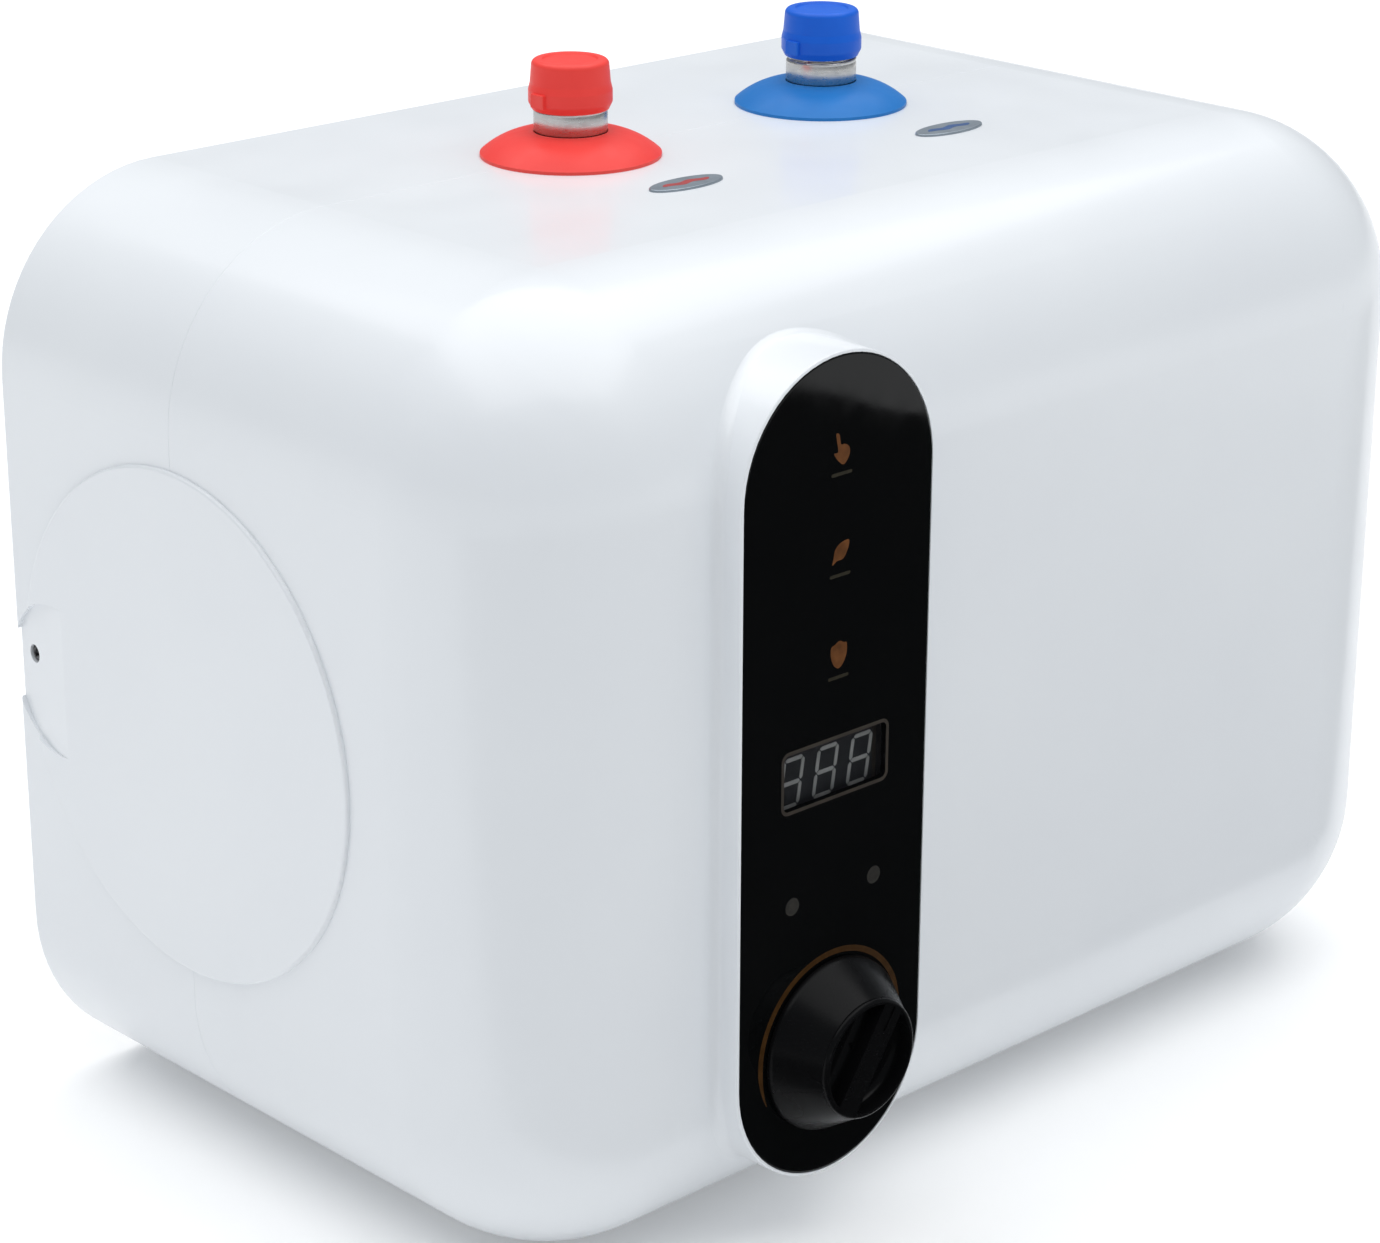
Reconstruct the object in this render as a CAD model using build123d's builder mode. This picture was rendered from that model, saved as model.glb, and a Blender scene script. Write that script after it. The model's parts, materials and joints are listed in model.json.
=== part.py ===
from build123d import *

# Small wall-hung tank water heater, about 8 litres: a white two-part casing round a foamed steel tank,
# with a black control panel in front and both water connections on top.
# Millimetres. +Z is up, the wall is on the +Y side, the controls face -Y, and the origin is the middle
# of the casing's flat underside.

# ---------------------------------------------------------------- shared allowances
margin = 1.0                    # how far a cut runs past the face it opens
merge = 0.5                     # overlap that joins two solids of one piece
pick = 0.1                      # tolerance when picking edges by place
fit_gap = 0.05
small_round = 1.0

# ---------------------------------------------------------------- casing
casing_width = 374.0
casing_height = 270.0
casing_depth = 217.0
corner_radius = 54.0            # the four long edges that run from front to back
front_radius = 52.0             # the rounded rim of the front face
wall = 2.8
front_y = -casing_depth / 2
back_y = casing_depth / 2
side_x = casing_width / 2
mid_z = casing_height / 2
seam_y = back_y - 78.0          # front and rear shells meet here, in the plane of the pipes
seam_chamfer = 0.12
lip_gap = 0.15
lip_thickness = 1.5
lip_length = 4.0
lip_root = (1.0, 6.0)           # where the lip is joined to the rear shell, behind the seam
back_edge_round = 0.8

# ---------------------------------------------------------------- control panel
panel_x = -85.0
panel_z = 136.2
panel_stand = 8.3               # glass in front of the casing's front plane
glass_width = 68.2
glass_length = 228.9
glass_thickness = 1.8
glass_gap = 0.15
glass_edge_round = 0.4
glass_bush_gap = 0.4
tape_thickness = 0.3
tape_inset = 0.3
boss_rim = 1.0                  # casing rim left round the glass
boss_blend = 3.0
boss_edge_round = 0.5
boss_root_y = front_y + 28.0
ledge = 3.0
face_y = front_y - panel_stand
glass_back_y = face_y + glass_thickness
recess_floor_y = glass_back_y + tape_thickness
pocket_width = glass_width - 2 * ledge
pocket_length = glass_length - 2 * ledge

# ---------------------------------------------------------------- carrier, board and what is on it
carrier_gap = 0.3
window_gap = 0.3                # round the parts that stand in the carrier's windows
window_cut = 12.0
carrier_wall = 2.0
carrier_front_y = recess_floor_y + 0.2
board_front_y = face_y + 8.8
board_thickness = 1.6
board_back_y = board_front_y + board_thickness
board_gap = 0.2
board_screw_pitch = (46.0, 172.0)
board_screw_reach = 4.5
carrier_back_y = front_y + wall + 0.1
flange_thickness = 2.0
flange_width = 74.0
flange_height = 160.0
carrier_screw_x = (glass_width + 2 * boss_rim + pocket_width) / 4
carrier_screw_pitch = 70.0
small_screw_radius = 1.1
small_head_radius = 2.2
small_head_height = 1.5
small_screw_reach = 8.0
small_screw_clearance = 0.15
pilot_start = 0.5
display_width = 37.6
display_height = 19.0
display_z = 0.7                 # above the panel's middle
display_front_y = face_y + 3.5
lamp_radius = 2.7
lamp_offset_x = 15.3
lamp_z = -32.6
lamp_front_y = face_y + 3.3
lamp_round = 2.1
lamp_places = [(panel_x + way * lamp_offset_x, panel_z + lamp_z) for way in (-1, 1)]
icon_offsets = (89.3, 62.0, 34.0)
icon_block = 11.0
icon_front_y = face_y + 3.0
relay_low = (-20.0, -62.0)      # across and up from the panel's middle
relay_high = (-4.0, -40.0)
relay_depth = 16.0
transformer_low = (-15.0, 40.0)
transformer_high = (15.0, 66.0)
transformer_depth = 21.0
transformer_round = 1.5
capacitor_at = (14.0, -50.0)
capacitor_radius = 5.0
capacitor_length = 18.0
capacitor_round = 0.8

# ---------------------------------------------------------------- knob
knob_z = panel_z - 76.9
knob_radius = 24.6
knob_height = 14.4
knob_gap = 0.6
knob_foot = 1.0                 # height of the straight foot below the cone
knob_cone_top = 13.0
knob_top_radius = 17.0
knob_foot_round = 3.0
knob_top_round = 1.2
knob_scoop_radius = 15.4
knob_scoop_depth = 6.0
knob_scoop_round = 2.4
knob_bar_width = 7.6
knob_bar_lean = -34.0           # the bar's top leans clockwise seen from the front
knob_mark_width = 1.2
knob_mark_length = 7.0
knob_mark_depth = 0.4
knob_bush_gap = 0.6
shaft_radius = 3.0
shaft_clearance = 0.05
shaft_flat = 1.0
bush_radius = 3.7
control_size = 16.5
control_gap = 0.6               # between the control's body and the glass
bush_proud = 0.2
bore_end = 1.5                  # in front of the board
shaft_end = 1.8
shaft_cover = 4.0               # knob left in front of the shaft's tip
knob_base_y = face_y - knob_gap
knob_face_y = knob_base_y - knob_height

# ---------------------------------------------------------------- water connections
pipe_pitch = 100.0
hot_x = -44.6
cold_x = hot_x + pipe_pitch
thread_radius = 20.955 / 2      # G 1/2 pipe thread
core_radius = 10.1
pipe_bore = 7.4
spigot_radius = 8.0
spigot_reach = 6.0              # into the tank
spigot_shoulder = (8.0, 10.0)   # heights above the tank's top
collar_radius = 25.7
collar_height = 6.9
collar_lip = 0.9
collar_top_radius = 12.0
collar_dome = 24.0
collar_wall = 1.8
collar_rim = 3.0
collar_hollow = 1.6
collar_bore = 10.9
hub_radius = 12.2
hub_depth = 4.0
casing_pipe_hole = 12.6
neck_low = 8.6                  # heights above the casing's top
neck_high = 13.2
relief = 1.2
relief_depth = 0.3
nipple_top = 23.4
thread_lead = 0.6
hot_cap_seat = 13.4             # height of each cap's lower edge above the casing's top
cold_cap_seat = 14.6
cap_length = 14.0
cap_foot_radius = 10.9
cap_band_radius = 11.9
cap_neck_radius = 11.4
cap_rim_radius = 10.85
cap_band_low = 2.0              # heights above the cap's lower edge
cap_band_high = 5.4
cap_neck = 7.4
cap_dish_radius = 8.0
cap_dish = 0.5
cap_bore = thread_radius + 0.07
cap_ceiling = 1.8
cap_edge_round = 1.6
cap_band_round = 1.2
cap_tab_reach = 1.0
cap_tab_width = 5.0
cap_tab_low = 1.6
cap_tab_round = 0.4
dip_lift = 14.0                 # above the tank's floor
dip_wall = 1.2
dip_top = 2.0
dip_hole_lift = 7.0
dip_hole_pitch = 9.0
dip_hole_radius = 2.6
badge_length = 26.0
badge_width = 10.5
badge_thickness = 0.7
hot_badge_shift = (-0.7, -48.0)
cold_badge_shift = (1.6, -50.8)

# ---------------------------------------------------------------- end covers and side screws
cover_radius = 72.5
cover_proud = 1.2
cover_round = 1.0
service_radius = 64.0
skirt_gap = 0.4
skirt_wall = 2.0
skirt_depth = 9.0
dish_y = 88.5                   # shallow scoop round each side screw, deepest at the back edge
dish_z = 132.0
dish_radius = 22.5
dish_start_y = 84.0
dish_depth = 1.6
screw_y = 101.1
screw_z = 136.5
screw_radius = 1.45
screw_head_radius = 2.5
screw_head_height = 1.4
screw_clearance = 0.25
screw_recess_radius = 2.7
screw_tip_reach = 14.0
head_seat = 2.6                 # depth of the head's seat below the end face
pad_thickness = 4.0
pad_y = (95.2, 105.0)
pad_z = (119.0, 154.0)
tab_thickness = 1.5
tab_gap = 0.2
tab_z = (122.0, 151.0)

# ---------------------------------------------------------------- back plate and hangers
plate_thickness = 1.5
plate_gap = 0.3
plate_recess = 1.2
plate_y = back_y - plate_recess         # outer face of the back plate
plate_in_y = plate_y - plate_thickness
rest_depth = 4.0
rest_width = 6.0
slot_pitch = 200.0
slot_z = 222.0
slot_length = 24.0
slot_width = 8.0
bead_length = 250.0
bead_width = 14.0
bead_height = 1.0
bead_heights = (40.0, 246.0)
bracket_xs = (-50.0, 70.0)
bracket_width = 40.0
bracket_height = 140.0
bracket_flange = 15.0
bracket_gauge = 1.5
bolt_radius = 2.5
bolt_head_radius = 5.0
bolt_head_height = 1.0
bolt_reach = 9.0
bolt_z_pitch = 100.0
nut_radius = 4.6
nut_height = 4.0

# ---------------------------------------------------------------- tank
tank_left = -138.0
tank_length = 296.0
tank_depth = 150.0
tank_height = 196.0
tank_y = 9.0
tank_z = 135.0
tank_corner = 46.0
tank_end_radius = 28.0
tank_wall = 1.5
tank_right = tank_left + tank_length
tank_top = tank_z + tank_height / 2
tank_back = tank_y + tank_depth / 2
head_depth = 34.0               # length of each pressed end
tank_cut = 12.0

# ---------------------------------------------------------------- heating element and what is beside it
port_y = 12.0
port_z = 120.0
port_radius = 24.0
neck_radius = 42.0
neck_length = 8.0
gasket_thickness = 2.0
port_flange_thickness = 4.0
port_bolt_circle = 33.0
port_bolt_count = 6
port_bolt_radius = 3.0
port_bolt_clearance = 0.3
port_bolt_start = 30.0
port_bolt_head = 5.6
port_bolt_head_height = 4.0
element_radius = 4.1
element_reach = 215.0
element_leg_low = -15.0
element_leg_high = 3.0
element_stub = 8.0
pin_radius = 1.8
pin_length = 10.0
well_radius = 4.0
well_wall = 0.8
well_reach = 150.0
well_z = 17.0
well_stub = 4.0
well_round = 1.5
well_tip = 2.0
probe_radius = 2.9
probe_stub = 6.0
cutout_radius = 12.0
cutout_depth = 7.0
cutout_z = 182.0
cutout_blade = (8.0, 0.8, 6.2)  # reach, thickness and width of each terminal
cutout_blade_offset = 5.0
anode_y = 12.0
anode_z = 176.0
anode_radius = 9.0
anode_length = 190.0
anode_round = 3.0
plug_thread = 12.9
plug_hex = 16.0
plug_height = 8.0
plug_reach = 8.0

# ---------------------------------------------------------------- cord entry and mains terminals
entry_y = 84.0
entry_z = 66.0
entry_flange_radius = 10.5
entry_flange = 3.0
entry_body_radius = 7.5
entry_length = 16.0
entry_bore = 3.7
entry_round = 1.4
entry_clearance = 0.1
terminal_y = 50.0
terminal_z = 96.0
terminal_size = (15.0, 38.0, 18.0)
terminal_plate = 1.5
terminal_plate_back = 30.0
terminal_plate_front = 24.0
terminal_plate_half = 12.0
terminal_well_pitch = (12.0, 9.0)
terminal_well_radius = 2.6
terminal_well_depth = 6.0
earth_x = 150.0
earth_z = 84.0
earth_radius = 2.0
earth_length = 15.0
earth_nut_radius = 4.0
earth_nut_height = 3.2

# ---------------------------------------------------------------- insulation
foam_inset = 5.2
foam_gap = 0.6
chamber_radius = 65.0
chamber_overlap = 2.0
chamber_start = 4.0
pipe_room = 1.5
pipe_overlap = 5.0
neck_room = 2.0
saddle_room = 6.0
bracket_room_y = 95.0
hook_room = 16.0
pad_room = 12.0
pad_side_room = 3.0
cord_room = (12.0, 14.0)
panel_room = (80.0, 240.0, 32.0)    # width, height and depth left behind the panel


def casing_block(inset, back):
    """Casing outline moved inward by inset, from its rounded front to the plane y = back."""
    with BuildPart() as block:
        with BuildSketch(Plane.XZ.offset(-back)):
            with Locations((0, mid_z)):
                RectangleRounded(casing_width - 2 * inset, casing_height - 2 * inset, corner_radius - inset)
        extrude(amount=back - front_y - inset)
        fillet(block.faces().sort_by(Axis.Y)[0].edges(), front_radius - inset)
    return block.part


def casing_ring(outer_inset, inner_inset, y_from, y_to):
    """Band that follows the casing's outline between two insets and two planes."""
    with BuildPart() as ring:
        with BuildSketch(Plane.XZ.offset(-y_to)):
            with Locations((0, mid_z)):
                RectangleRounded(
                    casing_width - 2 * outer_inset, casing_height - 2 * outer_inset, corner_radius - outer_inset
                )
                RectangleRounded(
                    casing_width - 2 * inner_inset,
                    casing_height - 2 * inner_inset,
                    corner_radius - inner_inset,
                    mode=Mode.SUBTRACT,
                )
        extrude(amount=y_to - y_from)
    return ring.part


def stadium(length, width, y_from, y_to):
    """Upright slot-shaped block on the panel's centre line, between two planes."""
    with BuildPart() as block:
        with BuildSketch(Plane.XZ.offset(-y_to)):
            with Locations((panel_x, panel_z)):
                SlotOverall(length, width, rotation=90)
        extrude(amount=y_to - y_from)
    return block.part


def block_between(low, high):
    """Plain block between two corners."""
    with BuildPart() as block:
        with Locations(tuple((a + b) / 2 for a, b in zip(low, high))):
            Box(*(b - a for a, b in zip(low, high)))
    return block.part


def rod_x(y, z, radius, x_from, x_to):
    """Round rod along X."""
    with BuildPart() as rod:
        with BuildSketch(Plane.YZ.offset(x_from)):
            with Locations((y, z)):
                Circle(radius)
        extrude(amount=x_to - x_from)
    return rod.part


def rod_y(x, z, radius, y_from, y_to):
    """Round rod along Y."""
    with BuildPart() as rod:
        with BuildSketch(Plane.XZ.offset(-y_to)):
            with Locations((x, z)):
                Circle(radius)
        extrude(amount=y_to - y_from)
    return rod.part


def tank_block(grow):
    """Outline of the tank, moved outward by grow."""
    with BuildPart() as block:
        with BuildSketch(Plane.YZ.offset(tank_left - grow)):
            with Locations((tank_y, tank_z)):
                RectangleRounded(tank_depth + 2 * grow, tank_height + 2 * grow, tank_corner + grow)
        extrude(amount=tank_length + 2 * grow)
        fillet(block.faces().filter_by(Axis.X).edges(), tank_end_radius + grow)
    return block.part


# ---------------------------------------------------------------- front shell
boss_width = glass_width + 2 * boss_rim
boss_length = glass_length + 2 * boss_rim

with BuildPart() as front_shell:
    add(casing_block(0, seam_y))
    add(stadium(boss_length, boss_width, face_y, boss_root_y))
    boss_foot = front_shell.edges().filter_by(
        lambda e: abs(e.bounding_box().center().X - panel_x) < boss_width / 2 + pick
        and e.bounding_box().min.X > panel_x - boss_width / 2 - pick
        and e.bounding_box().max.X < panel_x + boss_width / 2 + pick
        and face_y + margin < e.bounding_box().min.Y < boss_root_y - margin
        and e.bounding_box().max.Y < boss_root_y - margin
    )
    fillet(boss_foot, boss_blend)
    boss_front = front_shell.faces().sort_by(Axis.Y)[0].edges()
    fillet(boss_front, boss_edge_round)
    add(casing_block(wall, seam_y), mode=Mode.SUBTRACT)
    add(stadium(pocket_length, pocket_width, face_y - margin, boss_root_y), mode=Mode.SUBTRACT)
    add(
        stadium(glass_length + 2 * glass_gap, glass_width + 2 * glass_gap, face_y - margin, recess_floor_y),
        mode=Mode.SUBTRACT,
    )
    seam_edges = front_shell.faces().sort_by(Axis.Y)[-1].outer_wire().edges()
    chamfer(seam_edges, seam_chamfer)
    with BuildSketch(Plane.XY.offset(casing_height + margin)):
        with Locations((hot_x, seam_y), (cold_x, seam_y)):
            Circle(casing_pipe_hole)
    extrude(amount=-wall - 2 * margin, mode=Mode.SUBTRACT)
    with BuildSketch(Plane.YZ):
        with Locations((seam_y, mid_z)):
            Circle(service_radius)
    extrude(amount=side_x + margin, both=True, mode=Mode.SUBTRACT)
    # pilot holes for the carrier's screws, in the boss's wall
    with BuildSketch(Plane.XZ.offset(-(front_y + wall + pilot_start))):
        with Locations((panel_x, panel_z)):
            with GridLocations(2 * carrier_screw_x, carrier_screw_pitch, 2, 3):
                Circle(small_screw_radius + fit_gap)
    extrude(amount=small_screw_reach, mode=Mode.SUBTRACT)

front_shell.part.label = "front_shell"
export_step(front_shell.part, "parts/front_shell.step")

# ---------------------------------------------------------------- rear shell
rest_y = plate_in_y

cover_face_x = side_x + cover_proud

with BuildPart() as thumb_dish:
    with BuildSketch(Plane.YZ.offset(-cover_face_x - margin)):
        with Locations((dish_y, dish_z)):
            Circle(dish_radius)
    extrude(amount=cover_proud + dish_depth + margin)
    # sloped floor, from the end cover's face down to below the casing's end face
    with BuildSketch(Plane.XY):
        with BuildLine():
            Polyline(
                (-cover_face_x - margin, dish_start_y),
                (-cover_face_x, dish_start_y),
                (-side_x + dish_depth, back_y),
                (-side_x + dish_depth, back_y + margin),
                (-cover_face_x - margin, back_y + margin),
                close=True,
            )
        make_face()
    extrude(amount=casing_height, mode=Mode.INTERSECT)

with BuildPart() as rear_shell:
    add(casing_ring(0, wall, seam_y, back_y))
    outer_rims = rear_shell.faces().filter_by(Axis.Y)
    chamfer(outer_rims.sort_by(Axis.Y)[0].outer_wire().edges(), seam_chamfer)
    fillet(rear_shell.faces().sort_by(Axis.Y)[-1].outer_wire().edges(), back_edge_round)
    add(casing_ring(wall - merge, wall + rest_width, rest_y - rest_depth, rest_y))
    add(casing_ring(wall - merge, wall + lip_thickness, seam_y + lip_root[0], seam_y + lip_root[1]))
    add(casing_ring(wall + lip_gap, wall + lip_thickness, seam_y - lip_length, seam_y + 2 * margin))
    for side in (-1, 1):
        pad_out = side * (side_x - wall + merge)
        pad_in = side * (side_x - wall - pad_thickness)
        add(block_between(
            (min(pad_out, pad_in), pad_y[0], pad_z[0]),
            (max(pad_out, pad_in), pad_y[1], pad_z[1]),
        ))
        # way for the back plate's folded tab
        tab_in = side * (side_x - wall - rest_width - margin)
        add(
            block_between(
                (min(tab_in, pad_in), pad_y[0] - margin, tab_z[0] - margin),
                (max(tab_in, pad_in), back_y, tab_z[1] + margin),
            ),
            mode=Mode.SUBTRACT,
        )
    add(thumb_dish.part, mode=Mode.SUBTRACT)
    add(thumb_dish.part.mirror(Plane.YZ), mode=Mode.SUBTRACT)
    with BuildSketch(Plane.XY.offset(casing_height + margin)):
        with Locations((hot_x, seam_y), (cold_x, seam_y)):
            Circle(casing_pipe_hole)
    extrude(amount=-wall - lip_length - 2 * margin, mode=Mode.SUBTRACT)
    with BuildSketch(Plane.YZ):
        with Locations((seam_y, mid_z)):
            Circle(service_radius)
    extrude(amount=side_x + margin, both=True, mode=Mode.SUBTRACT)
    with BuildSketch(Plane.YZ):
        with Locations((screw_y, screw_z)):
            Circle(screw_radius + screw_clearance)
    extrude(amount=side_x + margin, both=True, mode=Mode.SUBTRACT)
    for side in (-1, 1):
        seat_x = side * (side_x - head_seat)
        end_x = side * (side_x + margin)
        add(
            rod_x(screw_y, screw_z, screw_recess_radius, min(seat_x, end_x), max(seat_x, end_x)),
            mode=Mode.SUBTRACT,
        )
    add(
        rod_x(
            entry_y,
            entry_z,
            entry_body_radius + entry_clearance,
            side_x - wall - pad_thickness,
            side_x + margin,
        ),
        mode=Mode.SUBTRACT,
    )

rear_shell.part.label = "rear_shell"
export_step(rear_shell.part, "parts/rear_shell.step")

# ---------------------------------------------------------------- back plate with its hanging slots
plate_inset = wall + plate_gap

with BuildPart() as back_plate:
    with BuildSketch(Plane.XZ.offset(-plate_y)):
        with Locations((0, mid_z)):
            RectangleRounded(
                casing_width - 2 * plate_inset, casing_height - 2 * plate_inset, corner_radius - plate_inset
            )
    extrude(amount=plate_thickness)
    for bead_z in bead_heights:
        with BuildSketch(Plane.XZ.offset(-plate_y - bead_height)):
            with Locations((0, bead_z)):
                SlotOverall(bead_length, bead_width)
        extrude(amount=bead_height)
        with BuildSketch(Plane.XZ.offset(-plate_in_y)):
            with Locations((0, bead_z)):
                SlotOverall(bead_length - 2 * plate_thickness, bead_width - 2 * plate_thickness)
        extrude(amount=-bead_height, mode=Mode.SUBTRACT)
    for side in (-1, 1):
        tab_out = side * (side_x - wall - pad_thickness - tab_gap)
        tab_in = tab_out - side * tab_thickness
        add(block_between(
            (min(tab_out, tab_in), pad_y[0] + margin, tab_z[0]),
            (max(tab_out, tab_in), plate_in_y + merge, tab_z[1]),
        ))
    with BuildSketch(Plane.YZ):
        with Locations((screw_y, screw_z)):
            Circle(screw_radius + fit_gap)
    extrude(amount=side_x, both=True, mode=Mode.SUBTRACT)
    with BuildSketch(Plane.XZ.offset(-plate_y)):
        with Locations((0, slot_z)):
            with GridLocations(slot_pitch, 1, 2, 1):
                SlotOverall(slot_length, slot_width)
        for bracket_x in bracket_xs:
            with Locations((bracket_x, tank_z)):
                with GridLocations(bracket_width + bracket_flange, bolt_z_pitch, 2, 2):
                    Circle(bolt_radius + fit_gap)
        with Locations((earth_x, earth_z)):
            Circle(earth_radius + fit_gap)
    extrude(amount=plate_thickness + margin, mode=Mode.SUBTRACT)

back_plate.part.label = "back_plate"
export_step(back_plate.part, "parts/back_plate.step")

# hat-section hangers between the tank and the back plate
with BuildPart() as tank_brackets:
    for bracket_x in bracket_xs:
        with BuildSketch(Plane.XY.offset(tank_z - bracket_height / 2)):
            with Locations((bracket_x, (tank_back + plate_in_y) / 2)):
                Rectangle(bracket_width, plate_in_y - tank_back)
            with Locations((bracket_x, plate_in_y - bracket_gauge / 2)):
                Rectangle(bracket_width + 2 * bracket_flange, bracket_gauge)
            with Locations((bracket_x, (tank_back + plate_in_y) / 2 + bracket_gauge)):
                Rectangle(bracket_width - 2 * bracket_gauge, plate_in_y - tank_back, mode=Mode.SUBTRACT)
        extrude(amount=bracket_height)
        with BuildSketch(Plane.XZ.offset(-plate_in_y)):
            with Locations((bracket_x, tank_z)):
                with GridLocations(bracket_width + bracket_flange, bolt_z_pitch, 2, 2):
                    Circle(bolt_radius + fit_gap)
        extrude(amount=bracket_gauge + margin, mode=Mode.SUBTRACT)

tank_brackets.part.label = "tank_brackets"
export_step(tank_brackets.part, "parts/tank_brackets.step")

with BuildPart() as plate_bolts:
    for bracket_x in bracket_xs:
        with BuildSketch(Plane.XZ.offset(-plate_y - bolt_head_height)):
            with Locations((bracket_x, tank_z)):
                with GridLocations(bracket_width + bracket_flange, bolt_z_pitch, 2, 2):
                    Circle(bolt_head_radius)
        extrude(amount=bolt_head_height)
        with BuildSketch(Plane.XZ.offset(-plate_y)):
            with Locations((bracket_x, tank_z)):
                with GridLocations(bracket_width + bracket_flange, bolt_z_pitch, 2, 2):
                    Circle(bolt_radius)
        extrude(amount=bolt_reach)

plate_bolts.part.label = "plate_bolts"
export_step(plate_bolts.part, "parts/plate_bolts.step")

with BuildPart() as plate_nuts:
    for bracket_x in bracket_xs:
        with BuildSketch(Plane.XZ.offset(-plate_in_y + bracket_gauge)):
            with Locations((bracket_x, tank_z)):
                with GridLocations(bracket_width + bracket_flange, bolt_z_pitch, 2, 2):
                    RegularPolygon(nut_radius, 6)
                    Circle(bolt_radius + fit_gap, mode=Mode.SUBTRACT)
        extrude(amount=nut_height)

plate_nuts.part.label = "plate_nuts"
export_step(plate_nuts.part, "parts/plate_nuts.step")

# ---------------------------------------------------------------- side screws and end covers
with BuildPart() as side_screws:
    for side in (-1, 1):
        seat_x = side * (side_x - head_seat)
        top_x = seat_x + side * screw_head_height
        tip_x = seat_x - side * screw_tip_reach
        add(rod_x(screw_y, screw_z, screw_head_radius, min(seat_x, top_x), max(seat_x, top_x)))
        add(rod_x(screw_y, screw_z, screw_radius, min(seat_x, tip_x), max(seat_x, tip_x)))

side_screws.part.label = "side_screws"
export_step(side_screws.part, "parts/side_screws.step")


# round push-in cover over the service opening of an end face
with BuildPart() as left_cover:
    with BuildSketch(Plane.YZ.offset(-cover_face_x)):
        with Locations((seam_y, mid_z)):
            Circle(cover_radius)
    extrude(amount=cover_proud)
    fillet(left_cover.faces().sort_by(Axis.X)[0].edges(), cover_round)
    with BuildSketch(Plane.YZ.offset(-side_x - cover_proud / 2)):
        with Locations((seam_y, mid_z)):
            Circle(service_radius - skirt_gap)
            Circle(service_radius - skirt_gap - skirt_wall, mode=Mode.SUBTRACT)
    extrude(amount=skirt_depth)
    add(thumb_dish.part, mode=Mode.SUBTRACT)

left_cover.part.label = "left_cover"
export_step(left_cover.part, "parts/left_cover.step")

with BuildPart() as right_cover:
    add(left_cover.part.mirror(Plane.YZ))

right_cover.part.label = "right_cover"
export_step(right_cover.part, "parts/right_cover.step")


# ---------------------------------------------------------------- water connections
def turned(x, points):
    """Solid of revolution about the vertical axis at x, from its (radius, height) outline."""
    with BuildPart() as solid:
        with BuildSketch(Plane.XZ.offset(-seam_y)):
            with BuildLine():
                Polyline(*[(x + r, z) for r, z in points], close=True)
            make_face()
        revolve(axis=Axis((x, seam_y, 0), (0, 0, 1)))
    return solid.part


def nipple(x):
    """Threaded outlet pipe: tank spigot, shoulder, exposed thread, relief and the thread under the cap."""
    top = casing_height
    outline = [
        (pipe_bore, tank_top - spigot_reach),
        (spigot_radius, tank_top - spigot_reach),
        (spigot_radius, tank_top + spigot_shoulder[0]),
        (core_radius, tank_top + spigot_shoulder[1]),
        (core_radius, top + neck_low),
        (thread_radius, top + neck_low),
        (thread_radius, top + neck_high),
        (core_radius - relief_depth, top + neck_high),
        (core_radius - relief_depth, top + neck_high + relief),
        (thread_radius, top + neck_high + relief),
        (thread_radius, top + nipple_top - thread_lead),
        (thread_radius - thread_lead, top + nipple_top),
        (pipe_bore, top + nipple_top),
    ]
    return turned(x, outline)


def collar(x):
    """Domed cover ring round a pipe, hollow underneath, with a hub in the casing's hole."""
    top = casing_height
    with BuildPart() as ring:
        with BuildSketch(Plane.XZ.offset(-seam_y)):
            with BuildLine():
                outer = RadiusArc(
                    (x + collar_radius, top + collar_lip),
                    (x + collar_top_radius, top + collar_height),
                    -collar_dome,
                )
                Polyline(outer @ 1, (x + collar_bore, top + collar_height), (x + collar_bore, top - hub_depth))
                Polyline(
                    (x + collar_bore, top - hub_depth),
                    (x + hub_radius, top - hub_depth),
                    (x + hub_radius, top),
                    (x + collar_radius, top),
                    outer @ 0,
                )
            make_face()
        revolve(axis=Axis((x, seam_y, 0), (0, 0, 1)))
        with BuildSketch(Plane.XY.offset(top)):
            with Locations((x, seam_y)):
                Circle(collar_radius - collar_rim)
                Circle(hub_radius + collar_wall, mode=Mode.SUBTRACT)
        extrude(amount=collar_hollow, mode=Mode.SUBTRACT)
    return ring.part


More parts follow.
